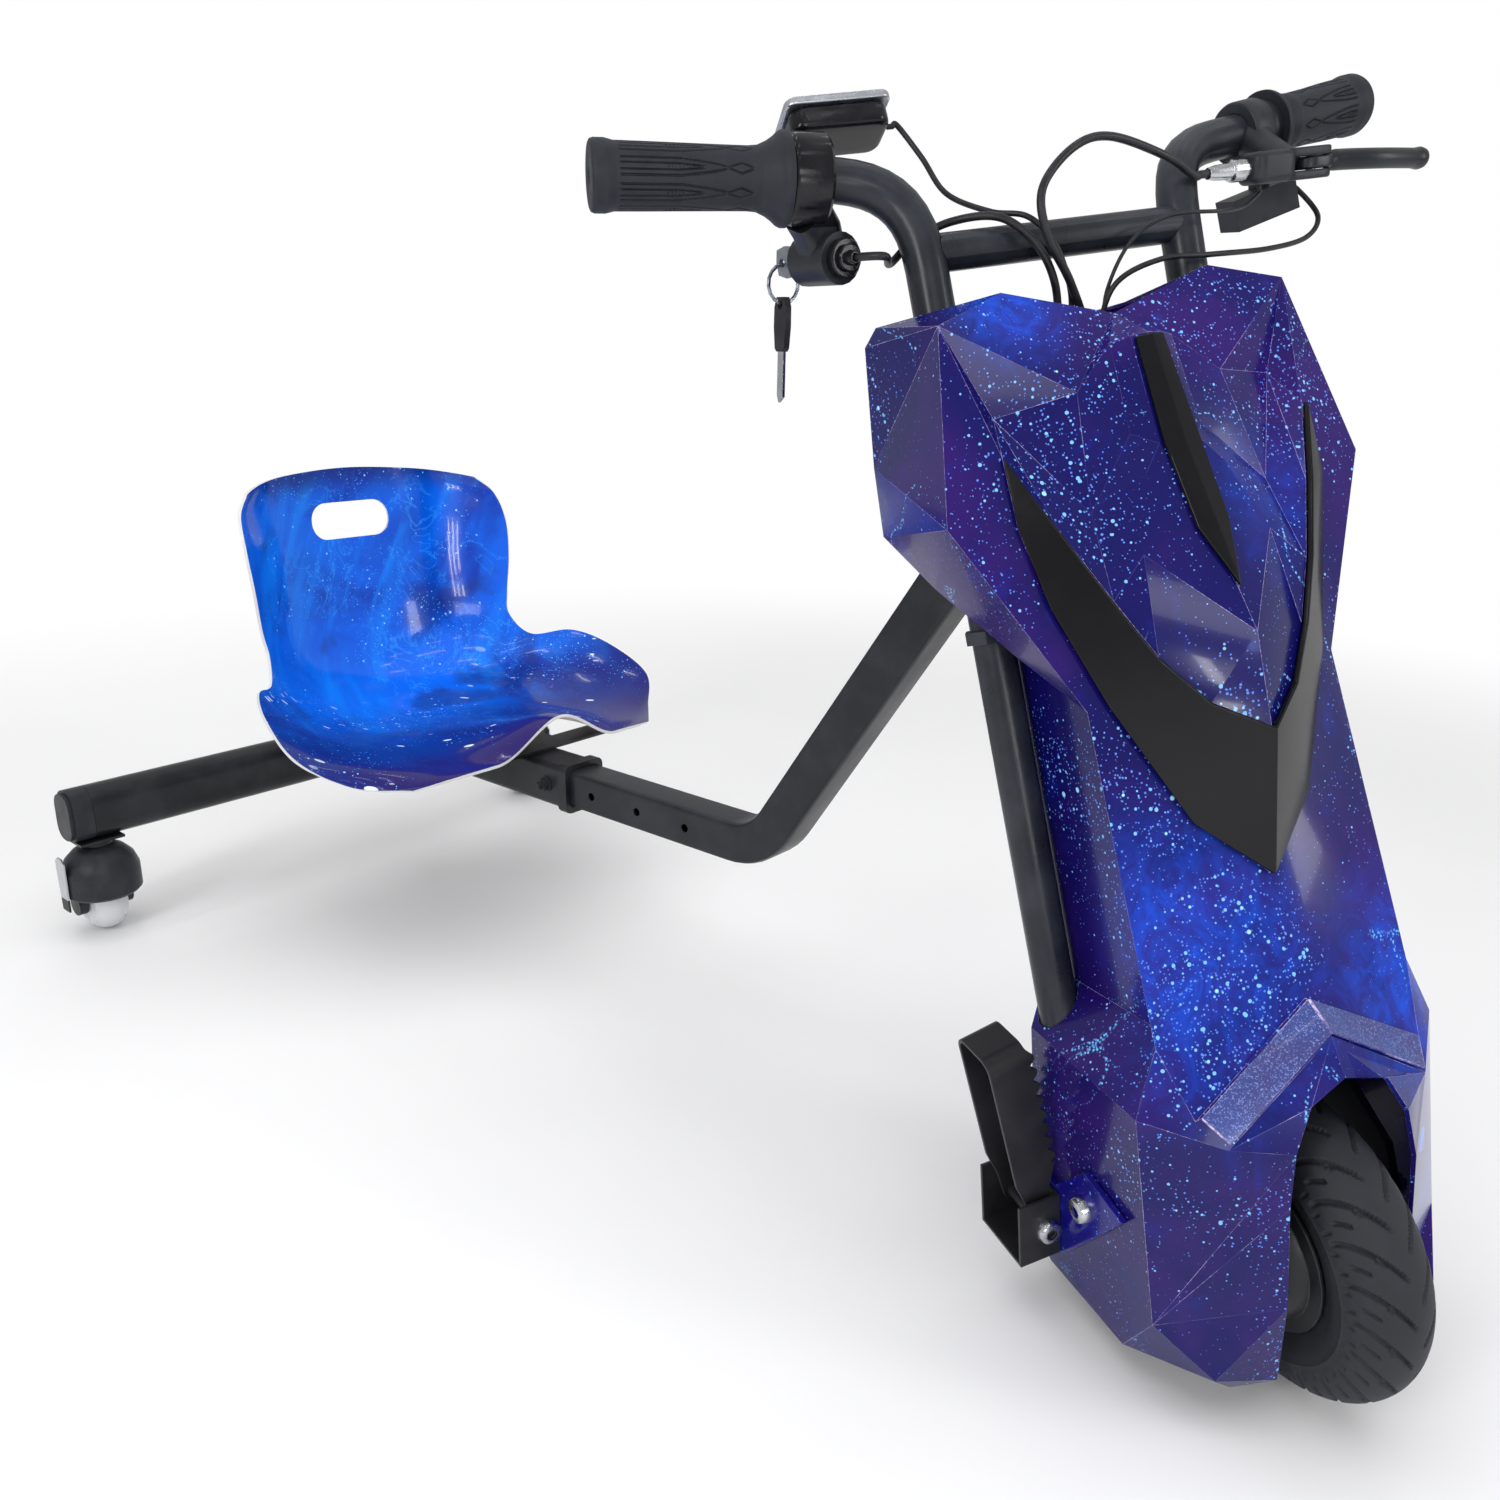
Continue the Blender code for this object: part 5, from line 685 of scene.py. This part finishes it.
def tube_along(path, radius, count=20):
    """Circles of the given radius carried along a path, each square to it; the frame turns as little as it
    can from one ring to the next. The ends are closed to their centres."""
    tangent = np.gradient(path, axis=0)
    tangent /= np.linalg.norm(tangent, axis=1)[:, None]
    normal = np.empty_like(tangent)
    n = np.cross(tangent[0], (0.31, 0.52, 0.79))
    for k, way in enumerate(tangent):
        n = n - way * n.dot(way)
        n /= np.linalg.norm(n)
        normal[k] = n
    other = np.cross(tangent, normal)
    t = np.linspace(0.0, 2 * pi, count + 1)
    t[-1] = 0.0
    radius = np.broadcast_to(radius, (len(path),))
    ring = np.cos(t)[None, :, None] * normal[:, None] + np.sin(t)[None, :, None] * other[:, None]
    grid = path[:, None] + radius[:, None, None] * ring
    return np.concatenate((np.repeat(path[:1, None], count + 1, axis=1), grid,
                           np.repeat(path[-1:, None], count + 1, axis=1)))


neck = np.linspace(clamp_at + BAR_OUT * 0.009, LEVER_BODY, 16)[3:]
neck_width = np.interp(np.linspace(0, 1, 13), (0.0, 0.4, 1.0), (0.0118, 0.0100, 0.0100))
surface("clamp_neck", turned(tube_along(neck, neck_width, 32)), CASE_NYLON, "steering", "lever_clamp")
LEVER_BEND = LEVER_PIVOT + np.array(((-0.004, 0.0, 0.0), (0.018, -0.003, 0.0), (0.050, -0.009, -0.002),
                                     (0.0925, -0.0045, -0.005)))
blade = curve_through(LEVER_BEND, 16)
reach = np.linalg.norm(np.gradient(blade, axis=0), axis=1).cumsum()
width = np.interp(reach, (0.0, 0.014, 0.021, 0.060, 0.086, 0.092, 0.0965, 0.0975),
                  (0.0039, 0.0039, 0.0064, 0.0062, 0.0062, 0.0070, 0.0058, 0.0020))
LEVER_COAT = powder_coat("lever_coat", (0.012, 0.013, 0.016), 0.32)
surface("lever_blade", turned(tube_along(blade, width, 40)), LEVER_COAT, "lever", "brake_lever")
root = slab(LEVER_PIVOT + (0.0010, -0.0008, 0.0), LEVEL, (0.0260, 0.0180, 0.0078), 0.0088, 0.0018)
surface("lever_root", root, LEVER_COAT, "lever", "brake_lever")
pivot_pin = [(-0.0096, 0.0), (-0.0096, 0.0030), (0.0096, 0.0030), (0.0096, 0.0)]
surface("lever_pin", turned(revolved(pivot_pin, LEVER_PIVOT, (0.0, 0.0, 1.0), 24)), BOLT_ZINC, "lever",
        "brake_lever", smooth=30.0)


# Cables.
# Black PVC sheaths: the brake cable and the lighter wires leave their sockets straight, loop over the
# crossbar and drop together into the fairing through a slot in the upper plate.
SHEATH = mottled("cable_sheath", ((0.010, 0.010, 0.013), (0.020, 0.020, 0.025)), (0.30, 0.50), (120.0, 3.0),
                 (120.0, 3.0, 0.0001, 0.2), Specular_IOR_Level=0.35)
CABLES = {
    "brake_cable": (0.0025, ((0.1062, -0.3465, 0.711), (0.1012, -0.3465, 0.711), (0.0962, -0.3465, 0.711),
                             (0.074, -0.349, 0.723), (0.031, -0.352, 0.737), (0.0, -0.359, 0.733),
                             (-0.026, -0.366, 0.713), (-0.026, -0.370, 0.688), (-0.008, -0.3665, 0.660),
                             (0.008, -0.3605, 0.628), (0.009, -0.360, 0.596))),
    "switch_cable": (0.0017, ((0.20239, -0.31215, 0.69414), (0.20566, -0.31261, 0.69496),
                              (0.20892, -0.31307, 0.69578), (0.215, -0.327, 0.678), (0.196, -0.338, 0.666),
                              (0.150, -0.354, 0.663), (0.094, -0.3675, 0.665), (0.055, -0.368, 0.666),
                              (0.026, -0.364, 0.655), (0.0175, -0.3595, 0.628), (0.0165, -0.358, 0.598))),
    "throttle_cable": (0.0024, ((-0.13454, -0.31262, 0.687), (-0.13344, -0.31729, 0.687),
                                (-0.13233, -0.32196, 0.687), (-0.117, -0.340, 0.686), (-0.106, -0.326, 0.681),
                                (-0.088, -0.3205, 0.691), (-0.066, -0.328, 0.700), (-0.044, -0.347, 0.700),
                                (-0.028, -0.3605, 0.684), (-0.016, -0.3625, 0.660), (-0.010, -0.357, 0.628),
                                (-0.0095, -0.357, 0.598))),
    "display_cable": (0.0017, ((-0.07812, -0.27746, 0.75735), (-0.07475, -0.27787, 0.75735),
                               (-0.07137, -0.27829, 0.75735), (-0.062, -0.290, 0.738),
                               (-0.056, -0.308, 0.716), (-0.042, -0.334, 0.7035), (-0.027, -0.3515, 0.6985),
                               (-0.014, -0.360, 0.682), (-0.0035, -0.360, 0.655), (-0.0015, -0.357, 0.628),
                               (-0.0015, -0.356, 0.604))),
    "brake_wire": (0.0012, ((0.1475, -0.3465, 0.7012), (0.1475, -0.3465, 0.6988), (0.1475, -0.3465, 0.6964),
                            (0.134, -0.349, 0.690), (0.108, -0.362, 0.689), (0.066, -0.362, 0.690),
                            (0.040, -0.360, 0.678), (0.026, -0.356, 0.652), (0.0245, -0.354, 0.628),
                            (0.024, -0.353, 0.606))),
}
for cable_name, (cable_radius, route) in CABLES.items():
    path = turned(curve_through(route, 14))
    surface(cable_name + "_sheath", tube_along(path, cable_radius), SHEATH, "steering", cable_name)


# Foot pegs and brackets.
# Bent steel strap with a saw-toothed tread edge, pivoting on a bolt through a folded channel; black coat,
# bright socket bolts.
PEG_COAT = powder_coat("peg_coat", (0.011, 0.011, 0.013), 0.42)
PEG_LENGTH = 0.1420
PEG_BEND = 0.0090
STRAP_WIDTH = 0.0385
STRAP_HALF = 0.0013
STRAP_EDGE = 0.0004
EYE_RADIUS = 0.0067
PEG_PIVOT = np.array((0.1225, -0.479, 0.0956))
PIVOT_HALF = 0.0233


def peg_strap(side):
    """Section 2.6 mm thick carried up one side, over two round bends and down the other. Its inner edge
    keeps its distance from the middle, its outer edge rises and falls in eight teeth; both close to the
    round eye on the pivot."""
    half = STRAP_WIDTH / 2 - STRAP_HALF
    up = np.linspace(-EYE_RADIUS, PEG_LENGTH - STRAP_HALF - PEG_BEND, 150)
    bend = np.linspace(0.0, pi / 2, 10)[1:]
    v = np.concatenate((up, up[-1] + PEG_BEND * np.sin(bend)))
    w = np.concatenate((np.full(150, half), half - PEG_BEND * (1 - np.cos(bend))))
    v, w = np.concatenate((v, v[::-1])), np.concatenate((w, -w[::-1]))
    out_v, out_w = np.gradient(v), np.gradient(w)
    size = np.hypot(out_v, out_w)
    normal_v, normal_w = out_w / size, -out_v / size
    eye = np.sqrt(np.clip(EYE_RADIUS ** 2 - v ** 2, 0, None))
    phase = (v - 0.046) / 0.0115 % 1.0
    tooth = 0.0150 + 0.0042 * np.clip(np.minimum(phase / 0.36, (1 - phase) / 0.44), 0, 1)
    neck = np.interp(v, (0.0, 0.008, 0.020, 0.030, 0.0445), (EYE_RADIUS, 0.0078, 0.0100, 0.0112, 0.0175))
    outer = np.where(v > 0.1385, 0.0150, np.where(v > 0.0457, tooth, neck))
    inner = np.interp(v, (0.0, 0.020, 0.040), (-EYE_RADIUS, -0.0080, -0.0120))
    outer, inner = np.where(v < 0, eye, outer), np.where(v < 0, -eye, inner)
    chamfer = np.minimum(STRAP_EDGE, 0.4 * (outer - inner))
    face, edge = STRAP_HALF, STRAP_HALF - STRAP_EDGE
    corners = ((outer, -edge), (outer - chamfer, -face), (inner + chamfer, -face), (inner, -edge),
               (inner, edge), (inner + chamfer, face), (outer - chamfer, face), (outer, edge), (outer, -edge))
    grid = np.stack([np.stack((-side * u, -(w + depth * normal_w), v + depth * normal_v), axis=-1)
                     for u, depth in corners], axis=1)
    ends = grid[[0, -1]].mean(axis=1, keepdims=True).repeat(grid.shape[1], axis=1)
    grid = np.concatenate((ends[:1], grid, ends[1:]))
    lean = np.array(Matrix.Rotation(side * radians(10.0), 3, "Y"))
    return turned(grid @ lean.T + PEG_PIVOT * (side, 1.0, 1.0))


for word, side in SIDES:
    surface("peg_strap_" + word, peg_strap(side), PEG_COAT, "foot_peg_" + word, "peg_" + word, smooth=32.0)
    softened("peg_bracket_" + word, 0.0006, PEG_COAT, "steering", angle=34.0)
    for kind, end in (("bolt", -1.0), ("nut", 1.0)):
        place = PEG_PIVOT * (side, 1.0, 1.0) + (0.0, end * PIVOT_HALF, 0.0)
        screw_heads("pivot_%s_%s" % (kind, word), turned([place]), aimed(0.0, end, 0.0), *BOLT_HEAD,
                    "steering", BOLT_ZINC)


# Seat carriage: sleeve, cross beam, end caps and plates.
# A larger square tube slides over the frame tube and is locked by a bolt through one of its holes; a
# flat-oval cross beam is welded under its end and closed by moulded caps.
CARRIAGE_COAT = powder_coat("carriage_powder_coat", (0.009, 0.010, 0.012), 0.33)
for part_name, edge_round in (("sleeve", 0.0005), ("cross_beam", 0.0), ("seat_plate", 0.0006),
                              ("caster_plate_left", 0.0005), ("caster_plate_right", 0.0005)):
    softened(part_name, edge_round, CARRIAGE_COAT, "carriage", angle=34.0)
for word in ("left", "right"):
    softened("end_cap_" + word, 0.0010, CASE_NYLON, "carriage", angle=34.0)


# Seat.
# One moulded bucket 3 mm thick, lacquered azure night-sky print above and plain white below, with a rolled
# rim, a hump in its front edge and a rounded slot for the hand in its back.
SEAT_STATIONS = {   # y and z of the middle, half width, edge back, edge rise, hollow beside the middle
    "front lip": (0.203, 0.262, 0.157, 0.031, -0.014, 0.033),
    "thigh front": (0.232, 0.258, 0.196, 0.041, -0.007, 0.032),
    "thigh": (0.290, 0.243, 0.229, 0.019, 0.022, 0.020),
    "pan": (0.355, 0.231, 0.224, 0.010, 0.048, 0.007),
    "pan rear": (0.420, 0.228, 0.204, -0.010, 0.061, 0.003),
    "low turn": (0.478, 0.235, 0.171, -0.032, 0.042, -0.004),
    "high turn": (0.517, 0.260, 0.157, -0.048, 0.036, -0.008),
    "hip": (0.535, 0.305, 0.159, -0.061, 0.021, -0.004),
    "waist": (0.543, 0.360, 0.163, -0.070, 0.011, -0.001),
    "back": (0.548, 0.420, 0.165, -0.070, -0.004, 0.002),
    "high back": (0.551, 0.462, 0.160, -0.060, -0.013, 0.003),
    "top edge": (0.553, 0.481, 0.143, -0.047, -0.014, 0.002),
}
SLOT_SIZE = (0.098, 0.040)
SLOT_CORNER = 0.019
SLOT_Z = 0.424


def seat_grid(along=20, across=161):
    """Over a share t from -1 to 1 of the half width w, x = w t, y = y0 + b |t|^3 and
    z = z0 + r |t|^3 - h e(2 |t|), where e eases from 0 to 1 and then stays. The six values run from station
    to station on smooth curves."""
    y, z, half, back, rise, hollow = curve_through(list(SEAT_STATIONS.values()), along).T[:, :, None]
    t = np.linspace(-1.0, 1.0, across)[None, :]
    edge = np.abs(t) ** 3
    near = np.minimum(2.0 * np.abs(t), 1.0)
    ease = near * near * (3.0 - 2.0 * near)
    return np.stack((half * t, y + back * edge - MIDDLE_Y, z + rise * edge - hollow * ease), axis=-1)


def slotted(grid):
    """Leaves out the quads whose middle is inside the slot's outline, and slides the points round the hole
    along the sheet onto the outline, by the signed distance from a rounded rectangle."""
    beside = np.abs(grid[..., 0]) - (SLOT_SIZE[0] / 2 - SLOT_CORNER)
    above = np.abs(grid[..., 2] - SLOT_Z) - (SLOT_SIZE[1] / 2 - SLOT_CORNER)
    corner = np.hypot(np.maximum(beside, 0), np.maximum(above, 0))
    out = corner + np.minimum(np.maximum(beside, above), 0) - SLOT_CORNER
    gone = out[:-1, :-1] + out[1:, :-1] + out[:-1, 1:] + out[1:, 1:] < 0
    ring = np.pad(gone, 1)
    touching = np.stack((ring[:-1, :-1], ring[1:, :-1], ring[:-1, 1:], ring[1:, 1:]))
    rim = touching.any(axis=0) & ~touching.all(axis=0)
    way_x = np.where(corner > 0, np.maximum(beside, 0), beside > above) * np.sign(grid[..., 0])
    way_z = np.where(corner > 0, np.maximum(above, 0), above >= beside) * np.sign(grid[..., 2] - SLOT_Z)
    size = np.maximum(np.hypot(way_x, way_z), 1e-9)
    dx, dz = -out * way_x / size, -out * way_z / size
    down = np.gradient(grid, axis=0)
    over = np.gradient(grid, axis=1)
    whole = down[..., 0] * over[..., 2] - down[..., 2] * over[..., 0]
    whole = np.where(rim, whole, 1.0)
    p = (dx * over[..., 2] - dz * over[..., 0]) / whole
    q = (down[..., 0] * dz - down[..., 2] * dx) / whole
    moved = grid + p[..., None] * down + q[..., None] * over
    return np.where(rim[..., None], moved, grid), gone


def stretched(point, turn, size):
    """The point in a frame turned by three angles, in units of the given size along its axes."""
    values = {"Vector": point, "Rotation": turn, "Scale": size}
    return knot(point.id_data, "Mapping", values, vector_type="TEXTURE").outputs[0]


def seat_lacquer(name):
    """Azure over royal blue with slanting lighter streaks and faint marbling, navy at the rim and toward the
    front, violet at the lip, rows of short pale dashes over the pan that are a painted highlight, and fine
    dots, under lacquer that ripples slightly."""
    finish, shader, point = finish_start(name, (0.002, 0.09, 0.70), 0.15, Coat_Weight=0.30,
                                         Coat_Roughness=0.04, Specular_IOR_Level=0.25)
    cloud = grain(point, 6.5, 4.0, 0.55, 0.9)
    slant = stretched(point, (0.0, 0.42, 0.0), (0.034, 0.12, 0.22))
    streak = steps(grain(slant, 1.0, 4.0, 0.6, 0.4), 0.48, 0.72, 0.0, 0.75)
    marble = steps(contour(point, 13.0, 4.0, 0.62, 1.4), 0.016, 0.0)
    fade = steps(grain(point, 9.0, 2.0), 0.45, 0.62, 0.0, 0.45)
    dusk = steps(grain(point, 10.0, 3.0, 0.5, 0.5), 0.56, 0.70, 0.0, 0.75)
    part = knot(point.id_data, "SeparateXYZ", {"Vector": point}).outputs
    along = sums("ADD", part[1], sums("MULTIPLY", cloud, 0.12))
    height = sums("ADD", part[2], sums("MULTIPLY", cloud, 0.05))
    shade = layered((0.001, 0.042, 0.42), (steps(cloud, 0.34, 0.58), (0.001, 0.135, 0.82)),
                    (streak, (0.002, 0.25, 1.0)), (sums("MULTIPLY", marble, fade), (0.03, 0.36, 1.0)),
                    (dusk, (0.010, 0.030, 0.20)),
                    (steps(along, 0.54, 0.36, 0.0, 0.92), (0.003, 0.009, 0.17)),
                    (steps(along, 0.37, 0.27, 0.0, 0.85), (0.020, 0.003, 0.115)),
                    (steps(height, 0.470, 0.505, 0.0, 0.8), (0.003, 0.010, 0.13)))
    crowd = grain(point, 8.0, 3.0, 0.6)
    shade = splatter(point, shade, 480.0, 0.74, 0.44, (0.05, 0.34, 1.0), crowd)
    shade = splatter(point, shade, 200.0, 0.80, 0.34, (0.24, 0.62, 1.0), crowd)
    # Painted highlight: rows of short pale dashes over the pan stand for lamps reflected in the rippled
    # lacquer.
    across = stretched(point, (0.0, 0.0, -0.877), (0.024, 0.0085, 0.014))
    highlight_dashes = splatter(across, shade, 1.0, 0.44, 0.36, (0.82, 0.92, 1.0), crowd)
    rows = steps(contour(point, 7.0, 1.0), 0.10, 0.05)
    shade = tint(sums("MULTIPLY", steps(along, 0.56, 0.47), rows), shade, highlight_dashes)
    return feed(finish, shader, shade, None, grain(point, 60.0, 2.0), 0.0008, 0.12)


def white_moulding(name, colour=(0.72, 0.72, 0.74), rough=0.35):
    """Plain white plastic, slightly cloudy."""
    return mottled(name, (colour, tuple(c * 0.90 for c in colour)), (rough - 0.07, rough + 0.07), (40.0, 3.0),
                   (900.0, 2.0, 0.00008, 0.2), None, Subsurface_Weight=0.05)


points, open_quads = slotted(seat_grid())
seat = surface("seat_bucket", points, seat_lacquer("seat_print"), "carriage", "seat_shell", gone=open_quads)
seat.data.materials.append(white_moulding("seat_underside"))
if sum(face.normal.z * face.area for face in seat.data.polygons) < 0:
    seat.data.flip_normals()
wall = seat.modifiers.new("wall", "SOLIDIFY")
wall.thickness = 0.003
wall.offset = -1.0
wall.use_even_offset = True
wall.material_offset = 1
wall.material_offset_rim = 1
rolled_edges(seat, 0.0011, 3, 50.0)


# Casters.
# Nylon twin-cup hoods turn on a steel plate under each end of the beam; each holds one crowned white wheel
# and a thin pressed-steel side tab with a black tip.
def dipped_steel(name):
    """Bright steel whose lower end is dipped in black vinyl."""
    finish, shader, point = finish_start(name, (0.55, 0.56, 0.58), 0.30)
    height = knot(point.id_data, "SeparateXYZ", {"Vector": point}).outputs[2]
    bare = steps(height, 0.0475, 0.0485)
    blotch = grain(point, 160.0, 3.0)
    steel = tint(blotch, (0.46, 0.47, 0.49), (0.60, 0.61, 0.63))
    shade = tint(bare, (0.010, 0.010, 0.012), steel)
    finish.node_tree.links.new(bare, shader.inputs["Metallic"])
    return feed(finish, shader, shade, steps(bare, 0.0, 1.0, 0.5, 0.28), blotch, 0.00004, 0.3)


TAB_STEEL = dipped_steel("tab_steel")
for word in ("left", "right"):
    softened("caster_hood_" + word, 0.0006, CASE_NYLON, "swivel_" + word, angle=34.0)
    softened("brake_tab_" + word, 0.0003, TAB_STEEL, "swivel_" + word)
    softened("caster_wheel_" + word, 0.0005, white_moulding("caster_white_" + word, (0.70, 0.71, 0.74), 0.30),
             "roll_" + word)


# Floor, lights and camera.
# A pale seamless floor that runs out into white, lit by one wide soft overhead panel, narrow side panels
# and small tubes that glint in the lacquer, seen from the rider's front right.
def seen_share(tree):
    """1 for rays straight from the camera or through glass, a part of 1 for reflections, else 0."""
    ray = knot(tree, "LightPath").outputs
    mirrored = sums("MULTIPLY", ray["Is Glossy Ray"], 0.3)
    straight = sums("MAXIMUM", ray["Is Camera Ray"], ray["Is Transmission Ray"])
    return sums("MAXIMUM", straight, mirrored)


def stage_paint(name):
    """Pale paper that takes a soft shadow near the object and fades to plain white 2.4 metres out."""
    finish, shader, point = finish_start(name, (0.88, 0.88, 0.89), 0.9, Specular_IOR_Level=0.1)
    shade = tint(grain(point, 3.0, 3.0), (0.87, 0.87, 0.88), (0.90, 0.90, 0.905))
    feed(finish, shader, shade)
    tree = finish.node_tree
    out = knot(tree, "VectorMath", {0: point}, operation="LENGTH").outputs["Value"]
    far = sums("MULTIPLY", steps(out, 0.9, 2.4), seen_share(tree))
    white = knot(tree, "Emission", {"Color": (1.0, 1.0, 1.0, 1.0), "Strength": 1.0})
    blend = knot(tree, "MixShader", {0: far, 1: shader.outputs[0], 2: white.outputs[0]})
    tree.links.new(blend.outputs[0], tree.nodes["Material Output"].inputs["Surface"])
    return finish


floor_mesh = bpy.data.meshes.new("floor")
floor_mesh.from_pydata([(-9, -9, 0), (9, -9, 0), (9, 9, 0), (-9, 9, 0)], [], [(0, 1, 2, 3)])
floor_mesh.materials.append(stage_paint("floor_paper"))
placed("floor", floor_mesh)

world = bpy.data.worlds.new("studio")
studio = bpy.context.scene
studio.world = world
world.use_nodes = True
glow = world.node_tree.nodes["Background"]
glow.inputs["Color"].default_value = (1.0, 1.0, 1.0, 1.0)
share = seen_share(world.node_tree)
world.node_tree.links.new(steps(share, 0.0, 1.0, 0.36, 1.0), glow.inputs["Strength"])


def panel(name, at, toward, size, power):
    """A rectangular soft light facing a point."""
    lamp = bpy.data.lights.new(name, "AREA")
    lamp.shape = "RECTANGLE"
    lamp.size, lamp.size_y = size
    lamp.energy = power
    holder = placed(name, lamp)
    way = Vector(toward) - Vector(at)
    holder.matrix_world = Matrix.Translation(at) @ way.to_track_quat("-Z", "Y").to_matrix().to_4x4()
    return holder


panel("overhead", (-0.3, -0.4, 2.6), (0.0, 0.0, 0.3), (3.0, 3.0), 44.0).visible_glossy = False
panel("front_left", (-2.3, -0.3, 1.2), (0.0, -0.2, 0.4), (0.45, 1.2), 15.0)
panel("low_front", (-1.75, -2.10, 1.20), (-0.15, -0.45, 0.45), (1.2, 0.45), 8.0)
panel("front_right", (0.7, -2.6, 1.3), (0.0, -0.3, 0.4), (0.40, 1.2), 12.0)
panel("rear", (0.6, 2.4, 1.6), (0.0, 0.2, 0.3), (1.8, 1.2), 12.0).visible_glossy = False
for k in range(3):
    panel("slit_%d" % k, (-1.30 + 0.12 * k, -1.55 - 0.09 * k, 0.47), (0.12, 0.50, 0.38), (0.05, 0.20), 0.9)
for row in range(5):
    for k in range(4):
        place = (-1.5 + 0.85 * k + 0.2 * (row % 2), -1.3 + 0.75 * row, 2.5)
        panel("tube_%d_%d" % (row, k), place, (place[0], place[1], 0.0), (0.34, 0.05), 0.55)

lens = bpy.data.cameras.new("camera")
lens.sensor_width = 36.0
PICTURE_PIXELS = 1500.0
FOCAL_PIXELS = 1248.0
lens.lens = FOCAL_PIXELS / PICTURE_PIXELS * lens.sensor_width
camera = placed("camera", lens)
yaw, pitch, roll = radians(50.25), radians(17.73), radians(0.91)
ahead = Vector((sin(yaw) * cos(pitch), cos(yaw) * cos(pitch), -sin(pitch)))
level = Vector((cos(yaw), -sin(yaw), 0.0))
right = level * cos(roll) + level.cross(ahead) * sin(roll)
upright = right.cross(ahead)
camera.matrix_world = (Matrix.Translation((-0.801, -0.7175, 0.612))
                       @ Matrix((right, upright, -ahead)).transposed().to_4x4())
studio.camera = camera
studio.view_settings.view_transform = "Standard"
